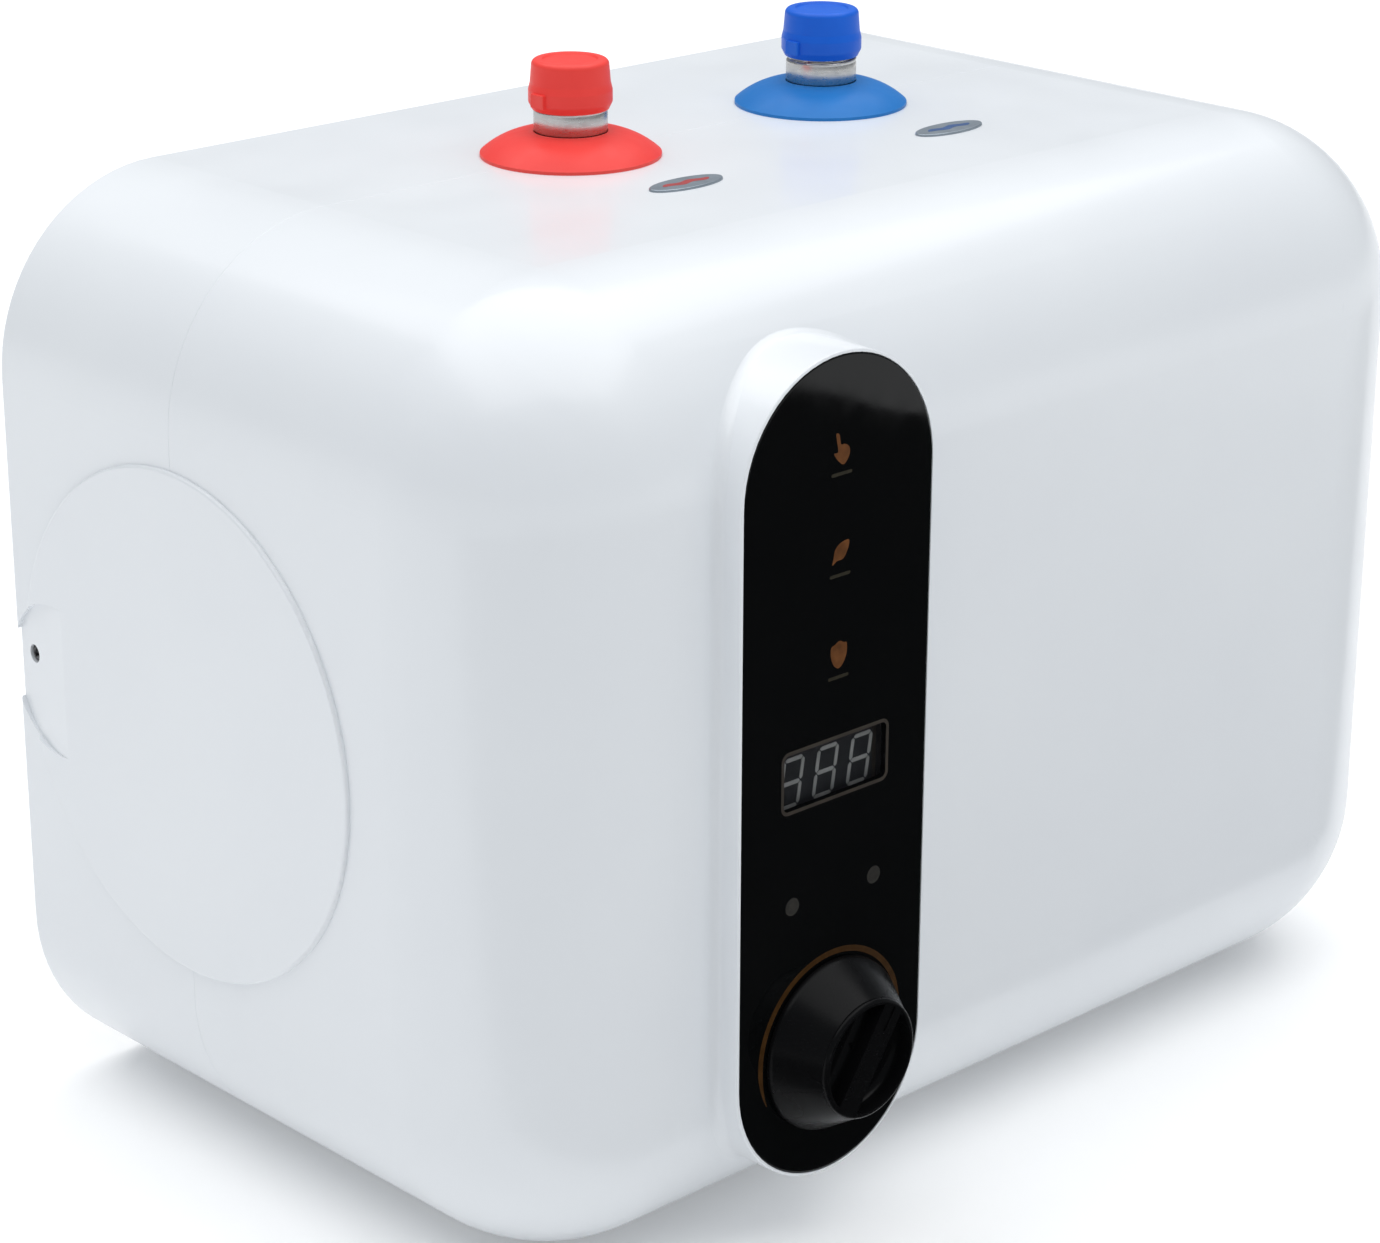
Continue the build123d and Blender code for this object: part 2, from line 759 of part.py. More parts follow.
def cap(x, seat):
    """Push-on transit cap: a swollen lower band, a tapered body, a dished top and a small pull tab."""
    low = casing_height + seat
    outline = [
        (cap_bore, low),
        (cap_foot_radius, low),
        (cap_band_radius, low + cap_band_low),
        (cap_band_radius, low + cap_band_high),
        (cap_neck_radius, low + cap_neck),
        (cap_rim_radius, low + cap_length),
        (cap_dish_radius, low + cap_length),
        (cap_dish_radius - cap_dish, low + cap_length - cap_dish),
        (0, low + cap_length - cap_dish),
        (0, low + cap_length - cap_ceiling),
        (cap_bore, low + cap_length - cap_ceiling),
    ]
    with BuildPart() as cup:
        add(turned(x, outline))
        rims = cup.edges().filter_by(GeomType.CIRCLE)
        fillet(rims.filter_by(lambda e: abs(e.radius - cap_band_radius) < pick), cap_band_round)
        neck_rim = cup.edges().filter_by(GeomType.CIRCLE).filter_by(
            lambda e: abs(e.radius - cap_neck_radius) < pick and abs(e.center().Z - low - cap_neck) < pick
        )
        fillet(neck_rim, cap_band_round)
        top_rim = cup.edges().filter_by(GeomType.CIRCLE).filter_by(
            lambda e: abs(e.radius - cap_rim_radius) < pick and abs(e.center().Z - low - cap_length) < pick
        )
        fillet(top_rim, cap_edge_round)
        with BuildSketch(Plane.XY.offset(low + cap_tab_low)):
            with Locations((x - cap_band_radius, seam_y)):
                RectangleRounded(2 * cap_tab_reach, cap_tab_width, cap_tab_round)
        extrude(amount=cap_band_high - cap_tab_low)
        with BuildSketch(Plane.XY.offset(low)):
            with Locations((x, seam_y)):
                Circle(cap_bore)
        extrude(amount=cap_length - cap_ceiling, mode=Mode.SUBTRACT)
    return cup.part


def badge(x, y):
    """Oval marker plate beside a connection."""
    with BuildPart() as plate:
        with BuildSketch(Plane.XY.offset(casing_height)):
            with Locations((x, y)):
                Ellipse(badge_length / 2, badge_width / 2)
        extrude(amount=badge_thickness)
        fillet(plate.faces().sort_by(Axis.Z)[-1].edges(), badge_thickness / 2)
    return plate.part


with BuildPart() as hot_nipple:
    add(nipple(hot_x))

hot_nipple.part.label = "hot_nipple"
export_step(hot_nipple.part, "parts/hot_nipple.step")

with BuildPart() as cold_nipple:
    add(nipple(cold_x))

cold_nipple.part.label = "cold_nipple"
export_step(cold_nipple.part, "parts/cold_nipple.step")

with BuildPart() as hot_collar:
    add(collar(hot_x))

hot_collar.part.label = "hot_collar"
export_step(hot_collar.part, "parts/hot_collar.step")

with BuildPart() as cold_collar:
    add(collar(cold_x))

cold_collar.part.label = "cold_collar"
export_step(cold_collar.part, "parts/cold_collar.step")

with BuildPart() as hot_cap:
    add(cap(hot_x, hot_cap_seat))

hot_cap.part.label = "hot_cap"
export_step(hot_cap.part, "parts/hot_cap.step")

with BuildPart() as cold_cap:
    add(cap(cold_x, cold_cap_seat))

cold_cap.part.label = "cold_cap"
export_step(cold_cap.part, "parts/cold_cap.step")

with BuildPart() as hot_badge:
    add(badge(hot_x + hot_badge_shift[0], seam_y + hot_badge_shift[1]))

hot_badge.part.label = "hot_badge"
export_step(hot_badge.part, "parts/hot_badge.step")

with BuildPart() as cold_badge:
    add(badge(cold_x + cold_badge_shift[0], seam_y + cold_badge_shift[1]))

cold_badge.part.label = "cold_badge"
export_step(cold_badge.part, "parts/cold_badge.step")

# plastic tube that leads cold water to the tank's floor, closed below with side outlets
dip_bottom = tank_z - tank_height / 2 + dip_lift
dip_radius = pipe_bore - fit_gap

with BuildPart() as dip_tube:
    with BuildSketch(Plane.XY.offset(dip_bottom)):
        with Locations((cold_x, seam_y)):
            Circle(dip_radius)
    extrude(amount=tank_top + dip_top - dip_bottom)
    with BuildSketch(Plane.XY.offset(dip_bottom + dip_wall)):
        with Locations((cold_x, seam_y)):
            Circle(dip_radius - dip_wall)
    extrude(amount=tank_top + dip_top - dip_bottom, mode=Mode.SUBTRACT)
    with BuildSketch(Plane.YZ.offset(cold_x)):
        with Locations((seam_y, dip_bottom + dip_hole_lift)):
            with GridLocations(dip_hole_pitch, dip_hole_pitch, 1, 2):
                Circle(dip_hole_radius)
    extrude(amount=dip_radius + margin, both=True, mode=Mode.SUBTRACT)

dip_tube.part.label = "dip_tube"
export_step(dip_tube.part, "parts/dip_tube.step")

# ---------------------------------------------------------------- control panel
with BuildPart() as control_glass:
    add(stadium(glass_length, glass_width, face_y, glass_back_y))
    glass_front = control_glass.faces().sort_by(Axis.Y)[0].edges()
    fillet(glass_front, glass_edge_round)
    add(
        rod_y(panel_x, knob_z, bush_radius + glass_bush_gap, face_y - margin, glass_back_y + margin),
        mode=Mode.SUBTRACT,
    )

control_glass.part.label = "control_glass"
export_step(control_glass.part, "parts/control_glass.step")

with BuildPart() as glass_tape:
    add(stadium(glass_length - 2 * tape_inset, glass_width - 2 * tape_inset, glass_back_y, recess_floor_y))
    add(
        stadium(
            pocket_length + 2 * tape_inset,
            pocket_width + 2 * tape_inset,
            glass_back_y - margin,
            recess_floor_y + margin,
        ),
        mode=Mode.SUBTRACT,
    )

glass_tape.part.label = "glass_tape"
export_step(glass_tape.part, "parts/glass_tape.step")

carrier_width = pocket_width - 2 * carrier_gap
carrier_length = pocket_length - 2 * carrier_gap
board_width = carrier_width - 2 * carrier_wall - 2 * board_gap
board_length = carrier_length - 2 * carrier_wall - 2 * board_gap

with BuildPart() as display_carrier:
    add(stadium(carrier_length, carrier_width, carrier_front_y, carrier_back_y))
    add(block_between(
        (panel_x - flange_width / 2, carrier_back_y, mid_z - flange_height / 2),
        (panel_x + flange_width / 2, carrier_back_y + flange_thickness, mid_z + flange_height / 2),
    ))
    add(
        stadium(
            carrier_length - 2 * carrier_wall,
            carrier_width - 2 * carrier_wall,
            board_front_y,
            carrier_back_y + flange_thickness + margin,
        ),
        mode=Mode.SUBTRACT,
    )
    # windows for the digits, the mode icons, the two lamps and the control behind the knob
    with BuildSketch(Plane.XZ.offset(-board_front_y - merge)):
        with Locations((panel_x, panel_z + display_z)):
            Rectangle(display_width + 2 * window_gap, display_height + 2 * window_gap)
        for icon_z in icon_offsets:
            with Locations((panel_x, panel_z + icon_z)):
                Rectangle(icon_block + 2 * window_gap, icon_block + 2 * window_gap)
        with Locations(*lamp_places):
            Circle(lamp_radius + window_gap)
        with Locations((panel_x, knob_z)):
            Rectangle(control_size + 2 * window_gap, control_size + 2 * window_gap)
    extrude(amount=window_cut, mode=Mode.SUBTRACT)
    with BuildSketch(Plane.XZ.offset(-carrier_back_y - flange_thickness - margin)):
        with Locations((panel_x, panel_z)):
            with GridLocations(2 * carrier_screw_x, carrier_screw_pitch, 2, 3):
                Circle(small_screw_radius + small_screw_clearance)
    extrude(amount=flange_thickness + 2 * margin, mode=Mode.SUBTRACT)
    with BuildSketch(Plane.XZ.offset(-board_front_y - merge)):
        with Locations((panel_x, panel_z)):
            with GridLocations(board_screw_pitch[0], board_screw_pitch[1], 2, 2):
                Circle(small_screw_radius + fit_gap)
    extrude(amount=board_screw_reach + margin + merge, mode=Mode.SUBTRACT)

display_carrier.part.label = "display_carrier"
export_step(display_carrier.part, "parts/display_carrier.step")

with BuildPart() as carrier_screws:
    carrier_screw_seat = carrier_back_y + flange_thickness
    with BuildSketch(Plane.XZ.offset(-carrier_screw_seat - small_head_height)):
        with Locations((panel_x, panel_z)):
            with GridLocations(2 * carrier_screw_x, carrier_screw_pitch, 2, 3):
                Circle(small_head_radius)
    extrude(amount=small_head_height)
    with BuildSketch(Plane.XZ.offset(-carrier_screw_seat)):
        with Locations((panel_x, panel_z)):
            with GridLocations(2 * carrier_screw_x, carrier_screw_pitch, 2, 3):
                Circle(small_screw_radius)
    extrude(amount=small_screw_reach)

carrier_screws.part.label = "carrier_screws"
export_step(carrier_screws.part, "parts/carrier_screws.step")

with BuildPart() as control_board:
    add(stadium(board_length, board_width, board_front_y, board_back_y))
    with BuildSketch(Plane.XZ.offset(-board_back_y - margin)):
        with Locations((panel_x, panel_z)):
            with GridLocations(board_screw_pitch[0], board_screw_pitch[1], 2, 2):
                Circle(small_screw_radius + small_screw_clearance)
    extrude(amount=board_thickness + 2 * margin, mode=Mode.SUBTRACT)

control_board.part.label = "control_board"
export_step(control_board.part, "parts/control_board.step")

with BuildPart() as board_screws:
    with BuildSketch(Plane.XZ.offset(-board_back_y - small_head_height)):
        with Locations((panel_x, panel_z)):
            with GridLocations(board_screw_pitch[0], board_screw_pitch[1], 2, 2):
                Circle(small_head_radius)
    extrude(amount=small_head_height)
    with BuildSketch(Plane.XZ.offset(-board_back_y)):
        with Locations((panel_x, panel_z)):
            with GridLocations(board_screw_pitch[0], board_screw_pitch[1], 2, 2):
                Circle(small_screw_radius)
    extrude(amount=board_thickness + board_screw_reach)

board_screws.part.label = "board_screws"
export_step(board_screws.part, "parts/board_screws.step")

with BuildPart() as digit_display:
    add(block_between(
        (panel_x - display_width / 2, display_front_y, panel_z + display_z - display_height / 2),
        (panel_x + display_width / 2, board_front_y, panel_z + display_z + display_height / 2),
    ))

digit_display.part.label = "digit_display"
export_step(digit_display.part, "parts/digit_display.step")

with BuildPart() as mode_lights:
    for icon_z in icon_offsets:
        add(block_between(
            (panel_x - icon_block / 2, icon_front_y, panel_z + icon_z - icon_block / 2),
            (panel_x + icon_block / 2, board_front_y, panel_z + icon_z + icon_block / 2),
        ))

mode_lights.part.label = "mode_lights"
export_step(mode_lights.part, "parts/mode_lights.step")

with BuildPart() as status_lamps:
    with BuildSketch(Plane.XZ.offset(-board_front_y)):
        with Locations(*lamp_places):
            Circle(lamp_radius)
    extrude(amount=board_front_y - lamp_front_y)
    fillet(status_lamps.faces().group_by(Axis.Y)[0].edges(), lamp_round)

status_lamps.part.label = "status_lamps"
export_step(status_lamps.part, "parts/status_lamps.step")

# rotary control on the board, whose bush reaches through the glass
with BuildPart() as rotary_control:
    add(block_between(
        (panel_x - control_size / 2, glass_back_y + control_gap, knob_z - control_size / 2),
        (panel_x + control_size / 2, board_front_y, knob_z + control_size / 2),
    ))
    add(rod_y(panel_x, knob_z, bush_radius, face_y - bush_proud, board_front_y - margin))
    add(
        rod_y(panel_x, knob_z, shaft_radius + shaft_clearance, face_y - margin, board_front_y - bore_end),
        mode=Mode.SUBTRACT,
    )

rotary_control.part.label = "rotary_control"
export_step(rotary_control.part, "parts/rotary_control.step")

shaft_tip_y = knob_face_y + shaft_cover

with BuildPart() as knob_shaft:
    add(rod_y(panel_x, knob_z, shaft_radius, shaft_tip_y, board_front_y - shaft_end))
    # flat that keeps the knob from slipping
    add(
        block_between(
            (panel_x - shaft_radius, shaft_tip_y - margin, knob_z + shaft_radius - shaft_flat),
            (panel_x + shaft_radius, knob_base_y - margin, knob_z + shaft_radius + margin),
        ),
        mode=Mode.SUBTRACT,
    )

knob_shaft.part.label = "knob_shaft"
export_step(knob_shaft.part, "parts/knob_shaft.step")

# round tapered knob with a bar left standing between two scoops
with BuildPart() as knob:
    with BuildSketch(Plane.XY.offset(knob_z)):
        with BuildLine():
            Polyline(
                (panel_x, knob_base_y),
                (panel_x + knob_radius, knob_base_y),
                (panel_x + knob_radius, knob_base_y - knob_foot),
                (panel_x + knob_top_radius, knob_base_y - knob_cone_top),
                (panel_x + knob_top_radius, knob_face_y),
                (panel_x, knob_face_y),
                close=True,
            )
        make_face()
    revolve(axis=Axis((panel_x, 0, knob_z), (0, 1, 0)))
    knob_rims = knob.edges().filter_by(GeomType.CIRCLE).sort_by(Axis.Y)
    knob_top_rim = knob_rims[0]
    knob_foot_rim = knob_rims[2]
    fillet(knob_foot_rim, knob_foot_round)
    fillet(knob_top_rim, knob_top_round)
    with BuildSketch(Plane.XZ.offset(-knob_face_y)):
        with Locations(Location((panel_x, knob_z), knob_bar_lean)):
            Circle(knob_scoop_radius)
            Rectangle(knob_bar_width, 3 * knob_radius, mode=Mode.SUBTRACT)
    extrude(amount=-knob_scoop_depth, mode=Mode.SUBTRACT)
    scoop_floors = knob.faces().filter_by(Axis.Y).group_by(Axis.Y)[1]
    fillet(scoop_floors.edges(), knob_scoop_round)
    add(rod_y(panel_x, knob_z, shaft_radius, shaft_tip_y, knob_base_y + margin), mode=Mode.SUBTRACT)
    add(
        rod_y(panel_x, knob_z, bush_radius + knob_bush_gap, knob_base_y - margin, knob_base_y + margin),
        mode=Mode.SUBTRACT,
    )
    # part of the bore that meets the shaft's flat
    add(block_between(
        (panel_x - shaft_radius, shaft_tip_y, knob_z + shaft_radius - shaft_flat),
        (panel_x + shaft_radius, knob_base_y - margin - pick, knob_z + shaft_radius + margin),
    ))
    with BuildSketch(Plane.XZ.offset(-knob_face_y)):
        with Locations(Location((panel_x, knob_z), knob_bar_lean)):
            with Locations((0, knob_scoop_radius - knob_mark_length / 2)):
                Rectangle(knob_mark_width, knob_mark_length)
    extrude(amount=-knob_mark_depth, mode=Mode.SUBTRACT)

knob.part.label = "knob"
export_step(knob.part, "parts/knob.step")

# components on the back of the board
with BuildPart() as power_relay:
    add(block_between(
        (panel_x + relay_low[0], board_back_y, panel_z + relay_low[1]),
        (panel_x + relay_high[0], board_back_y + relay_depth, panel_z + relay_high[1]),
    ))
    fillet(power_relay.edges().filter_by(Axis.Y), small_round)

power_relay.part.label = "power_relay"
export_step(power_relay.part, "parts/power_relay.step")

with BuildPart() as transformer:
    add(block_between(
        (panel_x + transformer_low[0], board_back_y, panel_z + transformer_low[1]),
        (panel_x + transformer_high[0], board_back_y + transformer_depth, panel_z + transformer_high[1]),
    ))
    fillet(transformer.edges().filter_by(Axis.Y), transformer_round)

transformer.part.label = "transformer"
export_step(transformer.part, "parts/transformer.step")

with BuildPart() as filter_capacitor:
    add(rod_y(
        panel_x + capacitor_at[0], panel_z + capacitor_at[1], capacitor_radius,
        board_back_y, board_back_y + capacitor_length,
    ))
    fillet(filter_capacitor.faces().sort_by(Axis.Y)[-1].edges(), capacitor_round)

filter_capacitor.part.label = "filter_capacitor"
export_step(filter_capacitor.part, "parts/filter_capacitor.step")

# ---------------------------------------------------------------- tank
with BuildPart() as tank_body:
    add(tank_block(0))
    add(tank_block(-tank_wall), mode=Mode.SUBTRACT)
    with BuildSketch(Plane.XY.offset(tank_top + margin)):
        with Locations((hot_x, seam_y), (cold_x, seam_y)):
            Circle(spigot_radius + fit_gap)
    extrude(amount=-tank_cut, mode=Mode.SUBTRACT)
    add(rod_x(port_y, port_z, port_radius, tank_left - margin, tank_left + tank_cut / 2), mode=Mode.SUBTRACT)
    add(
        rod_x(anode_y, anode_z, plug_thread + fit_gap, tank_right - tank_cut / 2, tank_right + margin),
        mode=Mode.SUBTRACT,
    )

left_weld_x = tank_left + head_depth
right_weld_x = tank_right - head_depth

with BuildPart() as tank_left_end:
    add(tank_body.part)
    split(bisect_by=Plane.YZ.offset(left_weld_x), keep=Keep.BOTTOM)

tank_left_end.part.label = "tank_left_end"
export_step(tank_left_end.part, "parts/tank_left_end.step")

with BuildPart() as tank_right_end:
    add(tank_body.part)
    split(bisect_by=Plane.YZ.offset(right_weld_x), keep=Keep.TOP)

tank_right_end.part.label = "tank_right_end"
export_step(tank_right_end.part, "parts/tank_right_end.step")

with BuildPart() as tank_wrapper:
    add(tank_body.part)
    split(bisect_by=Plane.YZ.offset(left_weld_x), keep=Keep.TOP)
    split(bisect_by=Plane.YZ.offset(right_weld_x), keep=Keep.BOTTOM)

tank_wrapper.part.label = "tank_wrapper"
export_step(tank_wrapper.part, "parts/tank_wrapper.step")

# ---------------------------------------------------------------- heating element on its bolted flange
neck_x = tank_left - neck_length
gasket_x = neck_x - gasket_thickness
flange_x = gasket_x - port_flange_thickness

with BuildPart() as port_neck:
    add(rod_x(port_y, port_z, neck_radius, neck_x, tank_left))
    add(rod_x(port_y, port_z, port_radius, neck_x - margin, tank_left + margin), mode=Mode.SUBTRACT)
    with BuildSketch(Plane.YZ.offset(neck_x)):
        with Locations((port_y, port_z)):
            with PolarLocations(port_bolt_circle, port_bolt_count, start_angle=port_bolt_start):
                Circle(port_bolt_radius + fit_gap)
    extrude(amount=neck_length - margin, mode=Mode.SUBTRACT)

port_neck.part.label = "port_neck"
export_step(port_neck.part, "parts/port_neck.step")

with BuildPart() as element_gasket:
    add(rod_x(port_y, port_z, neck_radius - margin, gasket_x, neck_x))
    add(rod_x(port_y, port_z, port_radius, gasket_x - margin, neck_x + margin), mode=Mode.SUBTRACT)
    with BuildSketch(Plane.YZ.offset(gasket_x)):
        with Locations((port_y, port_z)):
            with PolarLocations(port_bolt_circle, port_bolt_count, start_angle=port_bolt_start):
                Circle(port_bolt_radius + port_bolt_clearance)
    extrude(amount=gasket_thickness, mode=Mode.SUBTRACT)

element_gasket.part.label = "element_gasket"
export_step(element_gasket.part, "parts/element_gasket.step")

leg_heights = (port_z + element_leg_low, port_z + element_leg_high)

with BuildPart() as element_flange:
    add(rod_x(port_y, port_z, neck_radius, flange_x, gasket_x))
    fillet(element_flange.faces().sort_by(Axis.X)[0].edges(), small_round)
    with BuildSketch(Plane.YZ.offset(flange_x)):
        with Locations((port_y, port_z)):
            with PolarLocations(port_bolt_circle, port_bolt_count, start_angle=port_bolt_start):
                Circle(port_bolt_radius + port_bolt_clearance)
        for leg_z in leg_heights:
            with Locations((port_y, leg_z)):
                Circle(element_radius + fit_gap)
        with Locations((port_y, port_z + well_z)):
            Circle(well_radius + fit_gap)
    extrude(amount=port_flange_thickness, mode=Mode.SUBTRACT)

element_flange.part.label = "element_flange"
export_step(element_flange.part, "parts/element_flange.step")

with BuildPart() as flange_bolts:
    with BuildSketch(Plane.YZ.offset(flange_x - port_bolt_head_height)):
        with Locations((port_y, port_z)):
            with PolarLocations(port_bolt_circle, port_bolt_count, start_angle=port_bolt_start):
                RegularPolygon(port_bolt_head, 6)
    extrude(amount=port_bolt_head_height)
    with BuildSketch(Plane.YZ.offset(flange_x)):
        with Locations((port_y, port_z)):
            with PolarLocations(port_bolt_circle, port_bolt_count, start_angle=port_bolt_start):
                Circle(port_bolt_radius)
    extrude(amount=tank_left - tank_wall - flange_x)

flange_bolts.part.label = "flange_bolts"
export_step(flange_bolts.part, "parts/flange_bolts.step")

leg_start = flange_x - element_stub
leg_end = leg_start + element_reach
bend_radius = (leg_heights[1] - leg_heights[0]) / 2

with BuildPart() as heating_element:
    with BuildLine(Plane.XZ.offset(-port_y)):
        low_leg = Line((leg_start, leg_heights[0]), (leg_end, leg_heights[0]))
        bend = ThreePointArc(
            low_leg @ 1,
            (leg_end + bend_radius, (leg_heights[0] + leg_heights[1]) / 2),
            (leg_end, leg_heights[1]),
        )
        Line(bend @ 1, (leg_start, leg_heights[1]))
    with BuildSketch(Plane.YZ.offset(leg_start)):
        with Locations((port_y, leg_heights[0])):
            Circle(element_radius)
    sweep()

heating_element.part.label = "heating_element"
export_step(heating_element.part, "parts/heating_element.step")

with BuildPart() as element_pins:
    for leg_z in leg_heights:
        add(rod_x(port_y, leg_z, pin_radius, leg_start - pin_length, leg_start))

element_pins.part.label = "element_pins"
export_step(element_pins.part, "parts/element_pins.step")

well_start = flange_x - well_stub

with BuildPart() as sensor_well:
    add(rod_x(port_y, port_z + well_z, well_radius, well_start, well_start + well_reach))
    fillet(sensor_well.faces().sort_by(Axis.X)[-1].edges(), well_round)
    add(
        rod_x(
            port_y,
            port_z + well_z,
            well_radius - well_wall,
            well_start - margin,
            well_start + well_reach - well_tip,
        ),
        mode=Mode.SUBTRACT,
    )

sensor_well.part.label = "sensor_well"
export_step(sensor_well.part, "parts/sensor_well.step")

with BuildPart() as temperature_probe:
    add(rod_x(
        port_y, port_z + well_z, probe_radius, well_start - probe_stub, well_start + well_reach - 2 * well_tip
    ))
    fillet(temperature_probe.faces().sort_by(Axis.X)[-1].edges(), small_round)

temperature_probe.part.label = "temperature_probe"
export_step(temperature_probe.part, "parts/temperature_probe.step")

with BuildPart() as thermal_cutout:
    add(rod_x(port_y, cutout_z, cutout_radius, tank_left - cutout_depth, tank_left))
    fillet(thermal_cutout.faces().sort_by(Axis.X)[0].edges(), small_round)
    for tab_side in (-1, 1):
        tab_mid = port_y + tab_side * cutout_blade_offset
        add(block_between(
            (
                tank_left - cutout_depth - cutout_blade[0],
                tab_mid - cutout_blade[1] / 2,
                cutout_z - cutout_blade[2] / 2,
            ),
            (tank_left - cutout_depth + margin, tab_mid + cutout_blade[1] / 2, cutout_z + cutout_blade[2] / 2),
        ))

thermal_cutout.part.label = "thermal_cutout"
export_step(thermal_cutout.part, "parts/thermal_cutout.step")

# ---------------------------------------------------------------- anode at the other end
with BuildPart() as anode_plug:
    with BuildSketch(Plane.YZ.offset(tank_right)):
        with Locations((anode_y, anode_z)):
            RegularPolygon(plug_hex, 6)
    extrude(amount=plug_height)
    add(rod_x(anode_y, anode_z, plug_thread, tank_right - plug_reach, tank_right + margin))

anode_plug.part.label = "anode_plug"
export_step(anode_plug.part, "parts/anode_plug.step")

with BuildPart() as anode_rod:
    add(rod_x(
        anode_y, anode_z, anode_radius, tank_right - plug_reach - anode_length, tank_right - plug_reach
    ))
    fillet(anode_rod.faces().sort_by(Axis.X)[0].edges(), anode_round)

anode_rod.part.label = "anode_rod"
export_step(anode_rod.part, "parts/anode_rod.step")

# ---------------------------------------------------------------- cord entry, mains terminals and earth
entry_out = side_x + entry_flange
entry_in = entry_out - entry_length

with BuildPart() as cord_bushing:
    add(rod_x(entry_y, entry_z, entry_flange_radius, side_x, entry_out))
    fillet(cord_bushing.faces().sort_by(Axis.X)[-1].edges(), entry_round)
    add(rod_x(entry_y, entry_z, entry_body_radius, entry_in, side_x + margin))
    add(rod_x(entry_y, entry_z, entry_bore, entry_in - margin, entry_out + margin), mode=Mode.SUBTRACT)

cord_bushing.part.label = "cord_bushing"
export_step(cord_bushing.part, "parts/cord_bushing.step")

with BuildPart() as terminal_bracket:
    add(block_between(
        (tank_right, terminal_y - terminal_plate_back, terminal_z - terminal_plate_half),
        (tank_right + terminal_plate, terminal_y + terminal_plate_front, terminal_z + terminal_plate_half),
    ))

terminal_bracket.part.label = "terminal_bracket"
export_step(terminal_bracket.part, "parts/terminal_bracket.step")

terminal_x = tank_right + terminal_plate

with BuildPart() as mains_terminals:
    add(block_between(
        (terminal_x, terminal_y - terminal_size[1] / 2, terminal_z - terminal_size[2] / 2),
        (terminal_x + terminal_size[0], terminal_y + terminal_size[1] / 2, terminal_z + terminal_size[2] / 2),
    ))
    # three pairs of screw wells
    with BuildSketch(Plane.YZ.offset(terminal_x + terminal_size[0])):
        with Locations((terminal_y, terminal_z)):
            with GridLocations(terminal_well_pitch[0], terminal_well_pitch[1], 3, 2):
                Circle(terminal_well_radius)
    extrude(amount=-terminal_well_depth, mode=Mode.SUBTRACT)

mains_terminals.part.label = "mains_terminals"
export_step(mains_terminals.part, "parts/mains_terminals.step")

with BuildPart() as earth_stud:
    add(rod_y(earth_x, earth_z, earth_radius, plate_y - earth_length, plate_y))
    with BuildSketch(Plane.XZ.offset(-plate_in_y)):
        with Locations((earth_x, earth_z)):
            RegularPolygon(earth_nut_radius, 6)
    extrude(amount=earth_nut_height)

earth_stud.part.label = "earth_stud"
export_step(earth_stud.part, "parts/earth_stud.step")

# ---------------------------------------------------------------- moulded foam halves
room_low_z = panel_z - panel_room[1] / 2
room_high_z = panel_z + panel_room[1] / 2


def foam_cuts():
    """What both foam halves leave free: tank, pipes and the two end chambers."""
    cuts = [tank_block(foam_gap)]
    for pipe_x in (hot_x, cold_x):
        with BuildPart() as pipe_way:
            with BuildSketch(Plane.XY.offset(tank_top - pipe_overlap)):
                with Locations((pipe_x, seam_y)):
                    Circle(hub_radius + pipe_room)
            extrude(amount=casing_height - tank_top + pipe_overlap)
        cuts.append(pipe_way.part)
    cuts.append(rod_x(seam_y, mid_z, chamber_radius, -side_x, tank_left + chamber_overlap))
    cuts.append(rod_x(seam_y, mid_z, chamber_radius, tank_right - chamber_overlap, side_x))
    # the flange's neck reaches a little past the round chamber
    cuts.append(rod_x(
        port_y, port_z, neck_radius + neck_room, -side_x + chamber_start, tank_left + chamber_overlap
    ))
    return cuts


with BuildPart() as front_foam:
    add(casing_block(foam_inset, seam_y - foam_gap / 2))
    for cut in foam_cuts():
        add(cut, mode=Mode.SUBTRACT)
    add(
        block_between(
            (panel_x - panel_room[0] / 2, face_y, room_low_z),
            (panel_x + panel_room[0] / 2, front_y + panel_room[2], room_high_z),
        ),
        mode=Mode.SUBTRACT,
    )

front_foam.part.label = "front_foam"
export_step(front_foam.part, "parts/front_foam.step")

